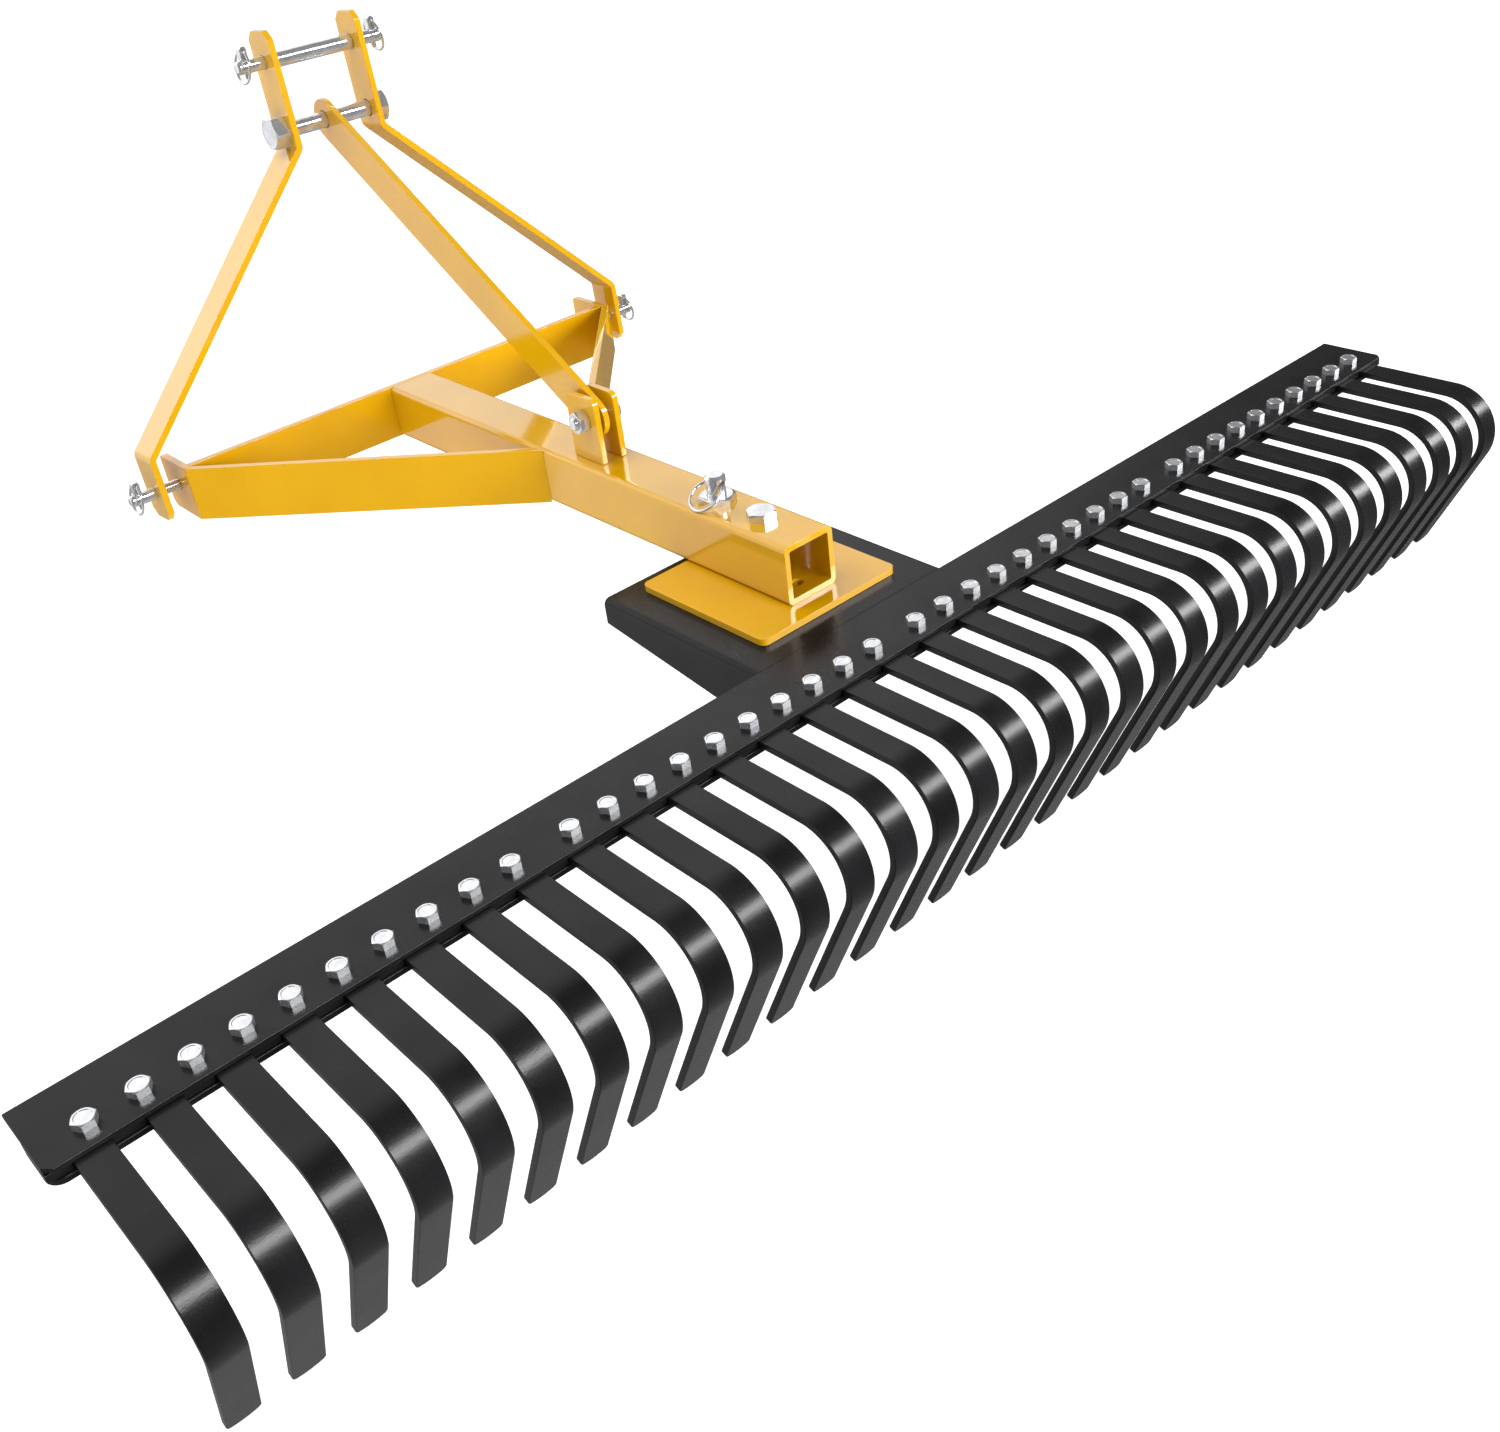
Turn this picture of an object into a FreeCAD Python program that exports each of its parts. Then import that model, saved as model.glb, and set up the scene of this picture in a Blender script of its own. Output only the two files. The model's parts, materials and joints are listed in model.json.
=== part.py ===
import FreeCAD, Part
import math
import os
import Sketcher

Vector = FreeCAD.Vector
UP = Vector(0, 0, 1)

# A three-point landscape rake for a small tractor, standing on the tips of its tines.
# X runs across the rake to the right, Y forward to the tractor and Z up. Lengths are in millimetres.
# It is drawn with the row of tine bolts on the line Y = 0 and the ground at Z = 0.

sizes = {
    # the beam: a top plate, a comb that spaces the tines and a lower bar, clamped by the tine bolts
    "beamLength": 1829.0,
    "beamTop": 227.5,
    "topPlateThick": 5.0,
    "topPlateRear": 24.6,
    "topPlateFront": 59.6,
    "topPlateCorner": 7.0,
    "barHalfWidth": 25.0,
    "lowerBarThick": 6.0,
    "lowerBarCorner": 14.0,
    "combSetback": 2.8,
    "notchClearance": 0.4,
    # the tine bolts, in groups with a wider gap between them
    "boltEndMargin": 42.33,
    "boltGroupExtraShare": 0.5,
    "tineBoltFlats": 18.0,
    "tineBoltHeadHigh": 7.5,
    "tineNutHigh": 10.0,
    "tineStudRadius": 5.8,
    "tineStudStickout": 4.0,
    # the spring-steel tines
    "tineEndMargin": 35.65,
    "tineWidth": 30.0,
    "tineThick": 8.0,
    "tineTail": 8.5,
    "tineBendSetback": 138.0,
    "tineBendRadius": 59.0,
    "tineLegAngle": 24.6,
    "tineTipArcHigh": 3.0,
    # the channel behind the pivot
    "channelHalfWidth": 140.0,
    "channelSheet": 5.0,
    "channelBend": 8.0,
    "channelFront": 310.0,
    "channelFrontDeep": 30.5,
    "channelRearDeep": 69.5,
    "channelRear": 40.0,
    # the swivel: pivot bolt, index holes and lock pin
    "pivotAhead": 190.0,
    "pivotRadius": 10.0,
    "runningClearance": 0.3,
    "swivelGap": 0.3,
    "indexRadius": 72.0,
    "indexAngle": 30.0,
    "lockPinRadius": 11.0,
    "lockPinNoseGap": 1.0,
    "lockPinStand": 32.2,
    "lockPinChamfer": 3.0,
    "lockPinHoleBelowTop": 9.5,
    "lockPinHoleRadius": 3.8,
    "lockRingRadius": 20.3,
    "lockRingSag": 1.6,
    "lockRingWire": 1.75,
    "lockRingDroop": 33.2,
    "collarFlats": 38.0,
    "collarHigh": 8.5,
    "pivotHeadFlats": 30.0,
    "pivotHeadHigh": 12.5,
    "pivotWasherRadius": 18.5,
    "pivotWasherThick": 3.0,
    "pivotNutHigh": 16.0,
    "pivotStickout": 5.0,
    "pivotPlateHalf": 100.0,
    "pivotPlateThick": 8.0,
    "pivotPlateCorner": 9.0,
    # the main tube
    "tubeSide": 70.0,
    "tubeWall": 5.0,
    "tubeCorner": 7.0,
    "tubeRear": 118.0,
    "tubeDrainRadius": 7.0,
    "tubeDrainAhead": 24.0,
    # the cross bar, end plates and diagonals
    "crossBarSetback": 4.0,
    "flatThick": 10.0,
    "endPlateOuter": 341.5,
    "endPlatePinRear": 37.0,
    "endPlateLong": 74.0,
    "endPlateCorner": 12.0,
    "endPlateSmallCorner": 4.0,
    "diagonalTubeAhead": 545.0,
    "diagonalEndShort": 2.4,
    # the bent straps of the mast
    "strapWide": 50.0,
    "strapThick": 8.0,
    "strapLean": 3.0,
    "strapTopOuter": 65.0,
    "strapBottomOuter": 374.0,
    "strapBottomBelowPin": 35.8,
    "strapLowBend": 48.5,
    "strapHighBend": 352.0,
    "strapTopAbovePin": 487.5,
    "strapBendRadius": 14.0,
    "strapCorner": 10.0,
    "strapPinSetback": 3.0,
    # the lower hitch pins
    "hitchPinAhead": 933.0,
    "hitchPinAboveMiddle": 4.6,
    "hitchShankRadius": 7.0,
    "hitchBarrelRadius": 8.0,
    "hitchBarrelLong": 17.0,
    "hitchNoseRadius": 7.6,
    "hitchPinEnd": 408.0,
    "hitchPinInner": 314.0,
    "hitchNutFlats": 22.0,
    "hitchNutThick": 12.0,
    "pinChamfer": 2.5,
    # the top link pin and its sleeve
    "topPinAlong": 451.8,
    "topPinAcross": 1.4,
    "topPinRadius": 8.0,
    "topPinHalf": 102.0,
    "topSleeveRadius": 9.5,
    # the bolt that joins the straps and the brace
    "mastBoltAlong": 371.1,
    "mastBoltAcross": -0.4,
    "mastBoltRadius": 10.0,
    "mastBoltFlats": 36.0,
    "mastHeadThick": 20.0,
    "mastNutThick": 14.0,
    "mastStickout": 4.0,
    # the brace and its clevis on the tube
    "braceWide": 50.0,
    "braceThick": 8.0,
    "braceOffset": 2.5,
    "clevisInner": 10.3,
    "clevisThick": 8.0,
    "clevisRear": 446.0,
    "clevisLong": 54.0,
    "clevisHigh": 80.5,
    "clevisCorner": 10.0,
    "braceBoltFromRear": 24.0,
    "braceBoltAboveTube": 51.2,
    "braceBoltRadius": 8.0,
    "braceBoltFlats": 24.0,
    "braceHeadThick": 10.0,
    "braceNutThick": 13.0,
    "braceStickout": 4.0,
    # the linch pins
    "linchSetback": 12.0,
    "linchRadius": 3.0,
    "linchHeadHalfWidth": 4.6,
    "linchHeadHalfDeep": 5.0,
    "linchHeadCorner": 2.5,
    "linchHeadAboveHole": 5.5,
    "linchPivotUp": 18.5,
    "linchRingRadius": 18.7,
    "linchRingSag": 0.35,
    "linchRingWire": 1.6,
    "linchRingHoleRadius": 2.4,
    "linchTip": 6.0,
    # clearances and the overrun that carries every cut clear of the metal
    "holeClearance": 0.3,
    "seatGap": 0.1,
    "overrun": 5.0,
}

TINES = 32
TINE_GROUPS = 4
BOLT_GROUPS = 4
BOLTS_IN_GROUP = 10
# Small round pieces and the holes round them are drawn with this many sides, to keep the facets few
ROUND_SIDES = 18
HIDDEN_SIDES = 12
THIN_SIDES = 8
STUD_SIDES = 6
RING_RUNS = 18
BEND_RUNS = 10


# A size knows its number and the formula by which the sheet gives it
class Size:
    def __init__(self, value, formula):
        self.value = value
        self.formula = formula

    def __add__(self, other):
        return joined(self, other, "+", self.value + asSize(other).value)

    def __radd__(self, other):
        return asSize(other) + self

    def __sub__(self, other):
        return joined(self, other, "-", self.value - asSize(other).value)

    def __rsub__(self, other):
        return asSize(other) - self

    def __mul__(self, other):
        return joined(self, other, "*", self.value * asSize(other).value)

    def __rmul__(self, other):
        return asSize(other) * self

    def __truediv__(self, other):
        return joined(self, other, "/", self.value / asSize(other).value)

    def __neg__(self):
        return asSize(-1) * self


def asSize(number):
    if isinstance(number, Size):
        return number
    return Size(float(number), "(%r)" % float(number))


def joined(first, second, sign, value):
    return Size(value, "(%s %s %s)" % (asSize(first).formula, sign, asSize(second).formula))


def sine(angle):
    return Size(math.sin(math.radians(angle.value)), "sin(%s)" % angle.formula)


def cosine(angle):
    return Size(math.cos(math.radians(angle.value)), "cos(%s)" % angle.formula)


def rootOfSquares(first, second):
    value = math.hypot(first.value, second.value)
    one, two = first.formula, second.formula
    return Size(value, "sqrt(%s * %s + %s * %s)" % (one, one, two, two))


def slopeAngle(rise, run):
    value = math.degrees(math.atan2(rise.value, run.value))
    return Size(value, "(atan2(%s; %s) / (1 deg))" % (rise.formula, run.formula))


document = FreeCAD.newDocument("LandscapeRake")
sheet = document.addObject("Spreadsheet::Sheet", "Sizes")
for row, (alias, number) in enumerate(sizes.items(), start=1):
    sheet.set("A%d" % row, alias)
    sheet.set("B%d" % row, repr(number))
    sheet.setAlias("B%d" % row, alias)
document.recompute()


def size(alias):
    return Size(sizes[alias], "Sizes.%s" % alias)


zero = asSize(0)
nodes = []


# Heights and places that several pieces share
boltSpaces = BOLT_GROUPS * BOLTS_IN_GROUP - 1 + (BOLT_GROUPS - 1) * size("boltGroupExtraShare")
boltPitch = (size("beamLength") - size("boltEndMargin") * 2) / boltSpaces
tinePitch = (size("beamLength") - size("tineEndMargin") * 2) / (TINES - 1)
beamUnder = size("beamTop") - size("topPlateThick")
lowerBarTop = beamUnder - size("tineThick")
lowerBarUnder = lowerBarTop - size("lowerBarThick")
plateTop = size("beamTop") + size("swivelGap") + size("pivotPlateThick")
tubeTop = plateTop + size("tubeSide")
tubeHalf = size("tubeSide") / 2
lockPinAhead = size("pivotAhead") + size("indexRadius")
lockPinTop = tubeTop + size("lockPinStand")
hitchPinHigh = plateTop + tubeHalf + size("hitchPinAboveMiddle")
endPlateInner = size("endPlateOuter") - size("flatThick")
endPlateRear = size("hitchPinAhead") - size("endPlatePinRear")
crossBarRear = endPlateRear + size("crossBarSetback")
braceBoltAhead = size("clevisRear") + size("braceBoltFromRear")
braceBoltHigh = tubeTop + size("braceBoltAboveTube")
tinesRear = size("tineBendSetback") + size("tineBendRadius")
strapAhead = size("hitchPinAhead") + size("strapPinSetback")


# Where a point of the leaning straps stands, by its place across and along them
def strapPlace(across, along):
    lean = size("strapLean")
    return (strapAhead + across * cosine(lean) + along * sine(lean),
            hitchPinHigh - across * sine(lean) + along * cosine(lean))


mastBoltAhead, mastBoltHigh = strapPlace(size("mastBoltAcross"), size("mastBoltAlong"))
topPinAhead, topPinHigh = strapPlace(size("topPinAcross"), size("topPinAlong"))
strapTopFront, strapTopHigh = strapPlace(size("strapWide") / 2, size("strapTopAbovePin"))
# The drawing's origin moves to the middle of the whole rake's footprint
originAhead = (strapTopFront - tinesRear) / 2


def place(piece, x=zero, y=zero, z=zero):
    piece.setExpression("Placement.Base.x", asSize(x).formula)
    piece.setExpression("Placement.Base.y", (asSize(y) - originAhead).formula)
    piece.setExpression("Placement.Base.z", asSize(z).formula)


def newBody(name):
    body = document.addObject("PartDesign::Body", name)
    body.Label = name
    nodes.append(body)
    return body


def newSketch(body, role, name, offset=None):
    sketch = body.newObject("Sketcher::SketchObject", name)
    planes = [feature for feature in body.Origin.OriginFeatures if feature.Role == role]
    sketch.AttachmentSupport = [(planes[0], "")]
    sketch.MapMode = "FlatFace"
    if offset is not None:
        sketch.setExpression("AttachmentOffset.Base.z", asSize(offset).formula)
    return sketch


def fixPoint(sketch, geometry, position, x, y):
    for kind, number in (("DistanceX", asSize(x)), ("DistanceY", asSize(y))):
        index = sketch.addConstraint(Sketcher.Constraint(kind, -1, 1, geometry, position, number.value))
        sketch.setExpression("Constraints[%d]" % index, number.formula)


def drawLoop(sketch, points):
    first = sketch.GeometryCount
    count = len(points)
    corners = [Vector(asSize(x).value, asSize(y).value, 0) for x, y in points]
    for index in range(count):
        sketch.addGeometry(Part.LineSegment(corners[index], corners[(index + 1) % count]))
    for index in range(count):
        after = first + (index + 1) % count
        sketch.addConstraint(Sketcher.Constraint("Coincident", first + index, 2, after, 1))
    for index, (x, y) in enumerate(points):
        fixPoint(sketch, first + index, 1, x, y)


def drawCircle(sketch, x, y, radius):
    centre = Vector(asSize(x).value, asSize(y).value, 0)
    circle = sketch.addGeometry(Part.Circle(centre, UP, radius.value))
    fixPoint(sketch, circle, 3, x, y)
    index = sketch.addConstraint(Sketcher.Constraint("Radius", circle, radius.value))
    sketch.setExpression("Constraints[%d]" % index, radius.formula)


# An outline with equal sides round a circle of the given radius, with a side or a corner on the first axis
def drawPolygon(sketch, x, y, radius, sides, start=0.5):
    reach = radius / math.cos(math.pi / sides)
    points = []
    for corner in range(sides):
        turn = 2 * math.pi * (corner + start) / sides
        points.append((x + reach * math.cos(turn), y + reach * math.sin(turn)))
    drawLoop(sketch, points)


def drawHexagon(sketch, x, y, flats, start=0.5):
    drawPolygon(sketch, x, y, flats / 2, 6, start)


# A small round outline with its corners on the circle, for a piece that goes through a hole
def drawShaft(sketch, x, y, radius, sides=ROUND_SIDES):
    drawPolygon(sketch, x, y, radius * math.cos(math.pi / sides), sides)


# A hole that a bolt's head or shank hides is drawn with few sides, all of them clear of the shank
def drawHiddenHole(sketch, x, y, radius):
    drawPolygon(sketch, x, y, radius, HIDDEN_SIDES)


def box(x1, x2, y1, y2):
    return [(x1, y1), (x2, y1), (x2, y2), (x1, y2)]


def addPad(body, sketch, length, name="Pad", midplane=False, reverse=False):
    pad = body.newObject("PartDesign::Pad", name)
    pad.Profile = sketch
    pad.Midplane = midplane
    pad.Reversed = reverse
    pad.setExpression("Length", asSize(length).formula)
    return pad


def addPocket(body, sketch, name="Pocket"):
    pocket = body.newObject("PartDesign::Pocket", name)
    pocket.Profile = sketch
    pocket.Type = 1
    pocket.Midplane = True
    return pocket


# Rounds or bevels the edges whose middle passes the test
def dressEdges(body, kind, radius, chosen):
    document.recompute()
    base = body.Tip
    names = []
    for index, edge in enumerate(base.Shape.Edges, start=1):
        middle = edge.valueAt((edge.FirstParameter + edge.LastParameter) / 2)
        if chosen(edge, middle):
            names.append("Edge%d" % index)
    if not names:
        raise RuntimeError("%s has no edge to dress" % body.Label)
    dress = body.newObject("PartDesign::%s" % kind, kind)
    dress.Base = (base, names)
    dress.setExpression("Radius" if kind == "Fillet" else "Size", radius.formula)
    return dress


def near(number, target):
    return abs(number - asSize(target).value) < size("seatGap").value


def along(edge, direction):
    if len(edge.Vertexes) < 2:
        return False
    run = edge.Vertexes[1].Point - edge.Vertexes[0].Point
    return run.Length > 0 and abs(run.normalize().dot(direction)) > 0.999


def boltPlaces():
    row = []
    middle = (BOLTS_IN_GROUP * BOLT_GROUPS - 1) / 2
    for group in range(BOLT_GROUPS):
        shift = (group - (BOLT_GROUPS - 1) / 2) * size("boltGroupExtraShare")
        for number in range(BOLTS_IN_GROUP):
            row.append((shift + (group * BOLTS_IN_GROUP + number - middle)) * boltPitch)
    return row


# The flat top plate, with its two rear corners cut off
def makeTopPlate():
    body = newBody("beam_top_plate")
    half = size("beamLength") / 2
    cut = size("topPlateCorner")
    rear = -size("topPlateRear")
    front = size("topPlateFront")
    sketch = newSketch(body, "XY_Plane", "TopPlateOutline", beamUnder)
    drawLoop(sketch, [(-half, front), (-half, rear + cut), (-half + cut, rear),
                      (half - cut, rear), (half, rear + cut), (half, front)])
    addPad(body, sketch, size("topPlateThick"))
    place(body)


# The comb between the plates: its notches seat the tails of the tines side by side
def makeComb():
    body = newBody("comb_bar")
    half = size("beamLength") / 2
    rear = -size("topPlateRear") + size("combSetback")
    sketch = newSketch(body, "XY_Plane", "CombOutline", lowerBarTop)
    drawLoop(sketch, box(-half, half, rear, size("barHalfWidth")))
    addPad(body, sketch, size("tineThick"), "CombBar")
    notch = newSketch(body, "XY_Plane", "NotchOutline", lowerBarTop)
    middle = -tinePitch * (TINES - 1) / 2
    side = size("tineWidth") / 2 + size("notchClearance")
    floor = -size("tineTail") + size("notchClearance")
    drawLoop(notch, box(middle - side, middle + side, rear - size("overrun"), floor))
    pocket = addPocket(body, notch, "Notch")
    document.recompute()
    notches = body.newObject("PartDesign::LinearPattern", "Notches")
    notches.Originals = [pocket]
    notches.Direction = (notch, ["H_Axis"])
    notches.Occurrences = TINES
    notches.setExpression("Length", (tinePitch * (TINES - 1)).formula)
    body.Tip = notches
    place(body)


# The lower bar, with its rear corners rounded off
def makeLowerBar():
    body = newBody("lower_bar")
    half = size("beamLength") / 2
    sketch = newSketch(body, "XY_Plane", "LowerBarOutline", lowerBarUnder)
    drawLoop(sketch, box(-half, half, -size("topPlateRear"), size("barHalfWidth")))
    addPad(body, sketch, size("lowerBarThick"))
    dressEdges(body, "Fillet", size("lowerBarCorner"),
               lambda edge, middle: along(edge, UP) and middle.y < 0)
    place(body)


# A point of the tine's bend, which turns from level to the slope of the leg
def bendPoint(radius, share):
    turn = (size("tineLegAngle") + 90) * share + 90
    return (radius * cosine(turn) - size("tineBendSetback"),
            radius * sine(turn) + beamUnder - size("tineBendRadius"))


# One tine: a flat bar that runs back from the comb, curls over and comes down and forward.
# Its bend is drawn as short straight runs, which end on two concentric arcs.
def makeTine():
    body = document.addObject("PartDesign::Body", "tine")
    outer = size("tineBendRadius")
    inner = outer - size("tineThick")
    angle = size("tineLegAngle")
    shares = [corner / BEND_RUNS for corner in range(BEND_RUNS + 1)]
    legStart = bendPoint(outer, 1)
    tip = (legStart[0] + legStart[1] * sine(angle) / cosine(angle), zero)
    back = (tip[0] + size("tineThick") * cosine(angle), size("tineThick") * sine(angle))
    outside = [bendPoint(outer, share) for share in shares]
    inside = [bendPoint(inner, share) for share in reversed(shares)]
    tail = -size("tineTail")
    sketch = newSketch(body, "YZ_Plane", "TineSide")
    drawLoop(sketch, [(tail, beamUnder)] + outside + [tip, back] + inside + [(tail, lowerBarTop)])
    addPad(body, sketch, size("tineWidth"), "TineBar", midplane=True)
    return body, tip


# The sheared end of the tine, cut square to the leg: five short cuts that follow a shallow arc
def cutTineTip(body, tip):
    angle = size("tineLegAngle")
    half = size("tineWidth") / 2
    past = size("overrun")
    sketch = newSketch(body, "XZ_Plane", "TipOutline", -tip[0])
    sketch.AttachmentOffset = FreeCAD.Placement(Vector(0, 0, 0), FreeCAD.Rotation(Vector(1, 0, 0), 1))
    sketch.setExpression("AttachmentOffset.Rotation.Angle", (-angle).formula)
    sketch.setExpression("AttachmentOffset.Base.y", tip[1].formula)
    curve = []
    for step in (-5, -3, -1, 1, 3, 5):
        curve.append((half * step / 5, size("tineTipArcHigh") * (step * step - 1) / 25))
    high = curve[0][1]
    drawLoop(sketch, [(-half - past, high)] + curve + [
        (half + past, high), (half + past, -past), (-half - past, -past)])
    addPocket(body, sketch, "TipCut")


# Copies of one piece along the beam, as the separate solids of one node
def makeRow(name, source, places):
    links = []
    for number, x in enumerate(places, start=1):
        link = document.addObject("App::Link", "%s_%02d" % (name, number))
        link.LinkedObject = source
        link.setExpression("Placement.Base.x", x.formula)
        links.append(link)
    row = document.addObject("Part::Compound", name)
    row.Label = name
    row.Links = links
    place(row)
    nodes.append(row)


def makeTines():
    tine, tip = makeTine()
    cutTineTip(tine, tip)
    document.recompute()
    places = [tinePitch * (number - (TINES - 1) / 2) for number in range(TINES)]
    share = TINES // TINE_GROUPS
    for group in range(TINE_GROUPS):
        makeRow("tines_%d" % (group + 1), tine, places[share * group:share * (group + 1)])


# The heads of the tine bolts, in their four groups along the plate
def makeTineBolts():
    body = document.addObject("PartDesign::Body", "tine_bolt")
    sketch = newSketch(body, "XY_Plane", "HeadOutline", size("beamTop"))
    drawHexagon(sketch, zero, zero, size("tineBoltFlats"), start=0)
    addPad(body, sketch, size("tineBoltHeadHigh"), "Head")
    document.recompute()
    makeRow("tine_bolts", body, boltPlaces())


# The nuts below the lower bar, each with the end of its bolt
def makeTineNuts():
    body = document.addObject("PartDesign::Body", "tine_nut")
    under = lowerBarUnder - size("tineNutHigh")
    sketch = newSketch(body, "XY_Plane", "NutOutline", under)
    drawHexagon(sketch, zero, zero, size("tineBoltFlats"), start=0)
    addPad(body, sketch, size("tineNutHigh"), "Nut")
    end = newSketch(body, "XY_Plane", "EndOutline", under)
    drawShaft(end, zero, zero, size("tineStudRadius"), STUD_SIDES)
    addPad(body, end, size("tineStudStickout"), "End", reverse=True)
    document.recompute()
    makeRow("tine_nuts", body, boltPlaces())


# The folded channel: a top on two side walls whose lower edges rise toward the tractor.
# The walls run on below the beam's top plate, which is cut out of them.
def makeChannel():
    body = newBody("pivot_channel")
    outer = size("channelHalfWidth")
    inner = outer - size("channelSheet")
    top = size("beamTop")
    ceiling = top - size("channelSheet")
    low = top - size("channelRearDeep")
    sketch = newSketch(body, "XZ_Plane", "ChannelSection", -size("channelFront"))
    drawLoop(sketch, [(-outer, low), (-inner, low), (-inner, ceiling), (inner, ceiling),
                      (inner, low), (outer, low), (outer, top), (-outer, top)])
    addPad(body, sketch, size("channelFront") - size("channelRear"), "Channel")
    forward = Vector(0, 1, 0)
    dressEdges(body, "Fillet", size("channelBend"),
               lambda edge, middle: along(edge, forward) and near(middle.z, top))
    dressEdges(body, "Fillet", size("channelBend") - size("channelSheet"),
               lambda edge, middle: along(edge, forward) and near(middle.z, ceiling))
    past = size("overrun")
    rear = size("channelRear") - past
    plateEnd = size("topPlateFront") + size("seatGap")
    under = beamUnder - size("seatGap")
    beam = newSketch(body, "YZ_Plane", "BeamCut")
    drawLoop(beam, [(rear, under), (plateEnd, under), (plateEnd, top + past), (rear, top + past)])
    addPocket(body, beam, "BeamSeat")
    slope = newSketch(body, "YZ_Plane", "SlopeCut")
    front = size("channelFront") + past
    rise = (size("channelRearDeep") - size("channelFrontDeep")) / (size("channelFront") - size("channelRear"))
    drawLoop(slope, [(rear, low - past), (front, low - past),
                     (front, top - size("channelFrontDeep") + rise * past), (rear, low - rise * past)])
    addPocket(body, slope, "Slope")
    holes = newSketch(body, "XY_Plane", "SwivelHoles", ceiling)
    drawCircle(holes, zero, size("pivotAhead"), size("pivotRadius") + size("runningClearance"))
    for turn in (-1, 0, 1):
        angle = size("indexAngle") * turn
        drawPolygon(holes, size("indexRadius") * sine(angle),
                    size("pivotAhead") + size("indexRadius") * cosine(angle),
                    size("lockPinRadius") + size("runningClearance"), ROUND_SIDES)
    addPocket(body, holes, "SwivelHoles")
    place(body)


# The plate below the tube that the channel turns under
def makePivotPlate():
    body = newBody("pivot_plate")
    half = size("pivotPlateHalf")
    middle = size("pivotAhead")
    sketch = newSketch(body, "XY_Plane", "PivotPlateOutline", size("beamTop") + size("swivelGap"))
    drawLoop(sketch, box(-half, half, middle - half, middle + half))
    drawHiddenHole(sketch, zero, middle, size("pivotRadius") + size("holeClearance"))
    drawPolygon(sketch, zero, lockPinAhead, size("lockPinRadius") + size("runningClearance"), ROUND_SIDES)
    addPad(body, sketch, size("pivotPlateThick"))
    dressEdges(body, "Fillet", size("pivotPlateCorner"),
               lambda edge, point: along(edge, UP) and near(abs(point.x), half))
    place(body)


# The square tube, with a drain hole in its floor at the open rear end
def makeTube():
    body = newBody("main_tube")
    long = crossBarRear - size("tubeRear")
    middle = plateTop + tubeHalf
    inner = tubeHalf - size("tubeWall")
    forward = Vector(0, 1, 0)
    sketch = newSketch(body, "XZ_Plane", "TubeSection", -crossBarRear)
    drawLoop(sketch, box(-tubeHalf, tubeHalf, plateTop, tubeTop))
    drawLoop(sketch, box(-inner, inner, middle - inner, middle + inner))
    addPad(body, sketch, long, "Tube")
    dressEdges(body, "Fillet", size("tubeCorner"),
               lambda edge, point: along(edge, forward) and near(abs(point.x), tubeHalf))
    dressEdges(body, "Fillet", size("tubeCorner") - size("tubeWall"),
               lambda edge, point: along(edge, forward) and near(abs(point.x), inner))
    holes = newSketch(body, "XY_Plane", "TubeHoles", plateTop)
    drawHiddenHole(holes, zero, size("pivotAhead"), size("pivotRadius") + size("holeClearance"))
    drawPolygon(holes, zero, lockPinAhead, size("lockPinRadius") + size("runningClearance"), ROUND_SIDES)
    addPocket(body, holes, "SwivelHoles")
    drain = newSketch(body, "XY_Plane", "DrainHole", plateTop + tubeHalf)
    drawPolygon(drain, zero, size("tubeRear") + size("tubeDrainAhead"), size("tubeDrainRadius"), ROUND_SIDES)
    cut = body.newObject("PartDesign::Pocket", "Drain")
    cut.Profile = drain
    cut.setExpression("Length", (tubeHalf + size("overrun")).formula)
    place(body)


# The bar on edge across the front of the tube
def makeCrossBar():
    bar = document.addObject("Part::Box", "cross_bar")
    bar.Label = "cross_bar"
    bar.setExpression("Length", (endPlateInner * 2).formula)
    bar.setExpression("Width", size("flatThick").formula)
    bar.setExpression("Height", size("tubeSide").formula)
    place(bar, -endPlateInner, crossBarRear, plateTop)
    nodes.append(bar)


# A plate that closes the end of the cross bar and carries the hitch pin
def makeEndPlate(name, side):
    body = newBody(name)
    rear = endPlateRear
    front = rear + size("endPlateLong")
    sketch = newSketch(body, "YZ_Plane", "EndPlateOutline", side * size("endPlateOuter"))
    drawLoop(sketch, box(rear, front, plateTop, tubeTop))
    drawHiddenHole(sketch, size("hitchPinAhead"), hitchPinHigh,
                   size("hitchShankRadius") + size("holeClearance"))
    addPad(body, sketch, size("flatThick"), reverse=side > 0)
    across = Vector(1, 0, 0)
    dressEdges(body, "Fillet", size("endPlateCorner"),
               lambda edge, point: along(edge, across) and near(point.y, front) and near(point.z, plateTop))
    dressEdges(body, "Fillet", size("endPlateSmallCorner"),
               lambda edge, point: along(edge, across) and near(point.y, front) and near(point.z, tubeTop))
    place(body)


# A flat bar on edge from the side of the tube to the end plate, mitred at both ends
def makeDiagonal(name, side):
    body = newBody(name)
    thick = size("flatThick")
    end = endPlateRear
    first = size("diagonalTubeAhead")
    outer = size("endPlateOuter")
    run = outer - tubeHalf
    rise = end - size("diagonalEndShort") - first
    length = rootOfSquares(run, rise)
    shift = thick * length / run
    inside = tubeHalf + (end - first - shift) * run / rise
    sketch = newSketch(body, "XY_Plane", "DiagonalPlan", plateTop)
    points = [(tubeHalf, first), (outer, end - size("diagonalEndShort")), (outer, end),
              (inside, end), (tubeHalf, first + shift)]
    drawLoop(sketch, [(side * x, y) for x, y in points])
    addPad(body, sketch, size("tubeSide"))
    place(body)


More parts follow.
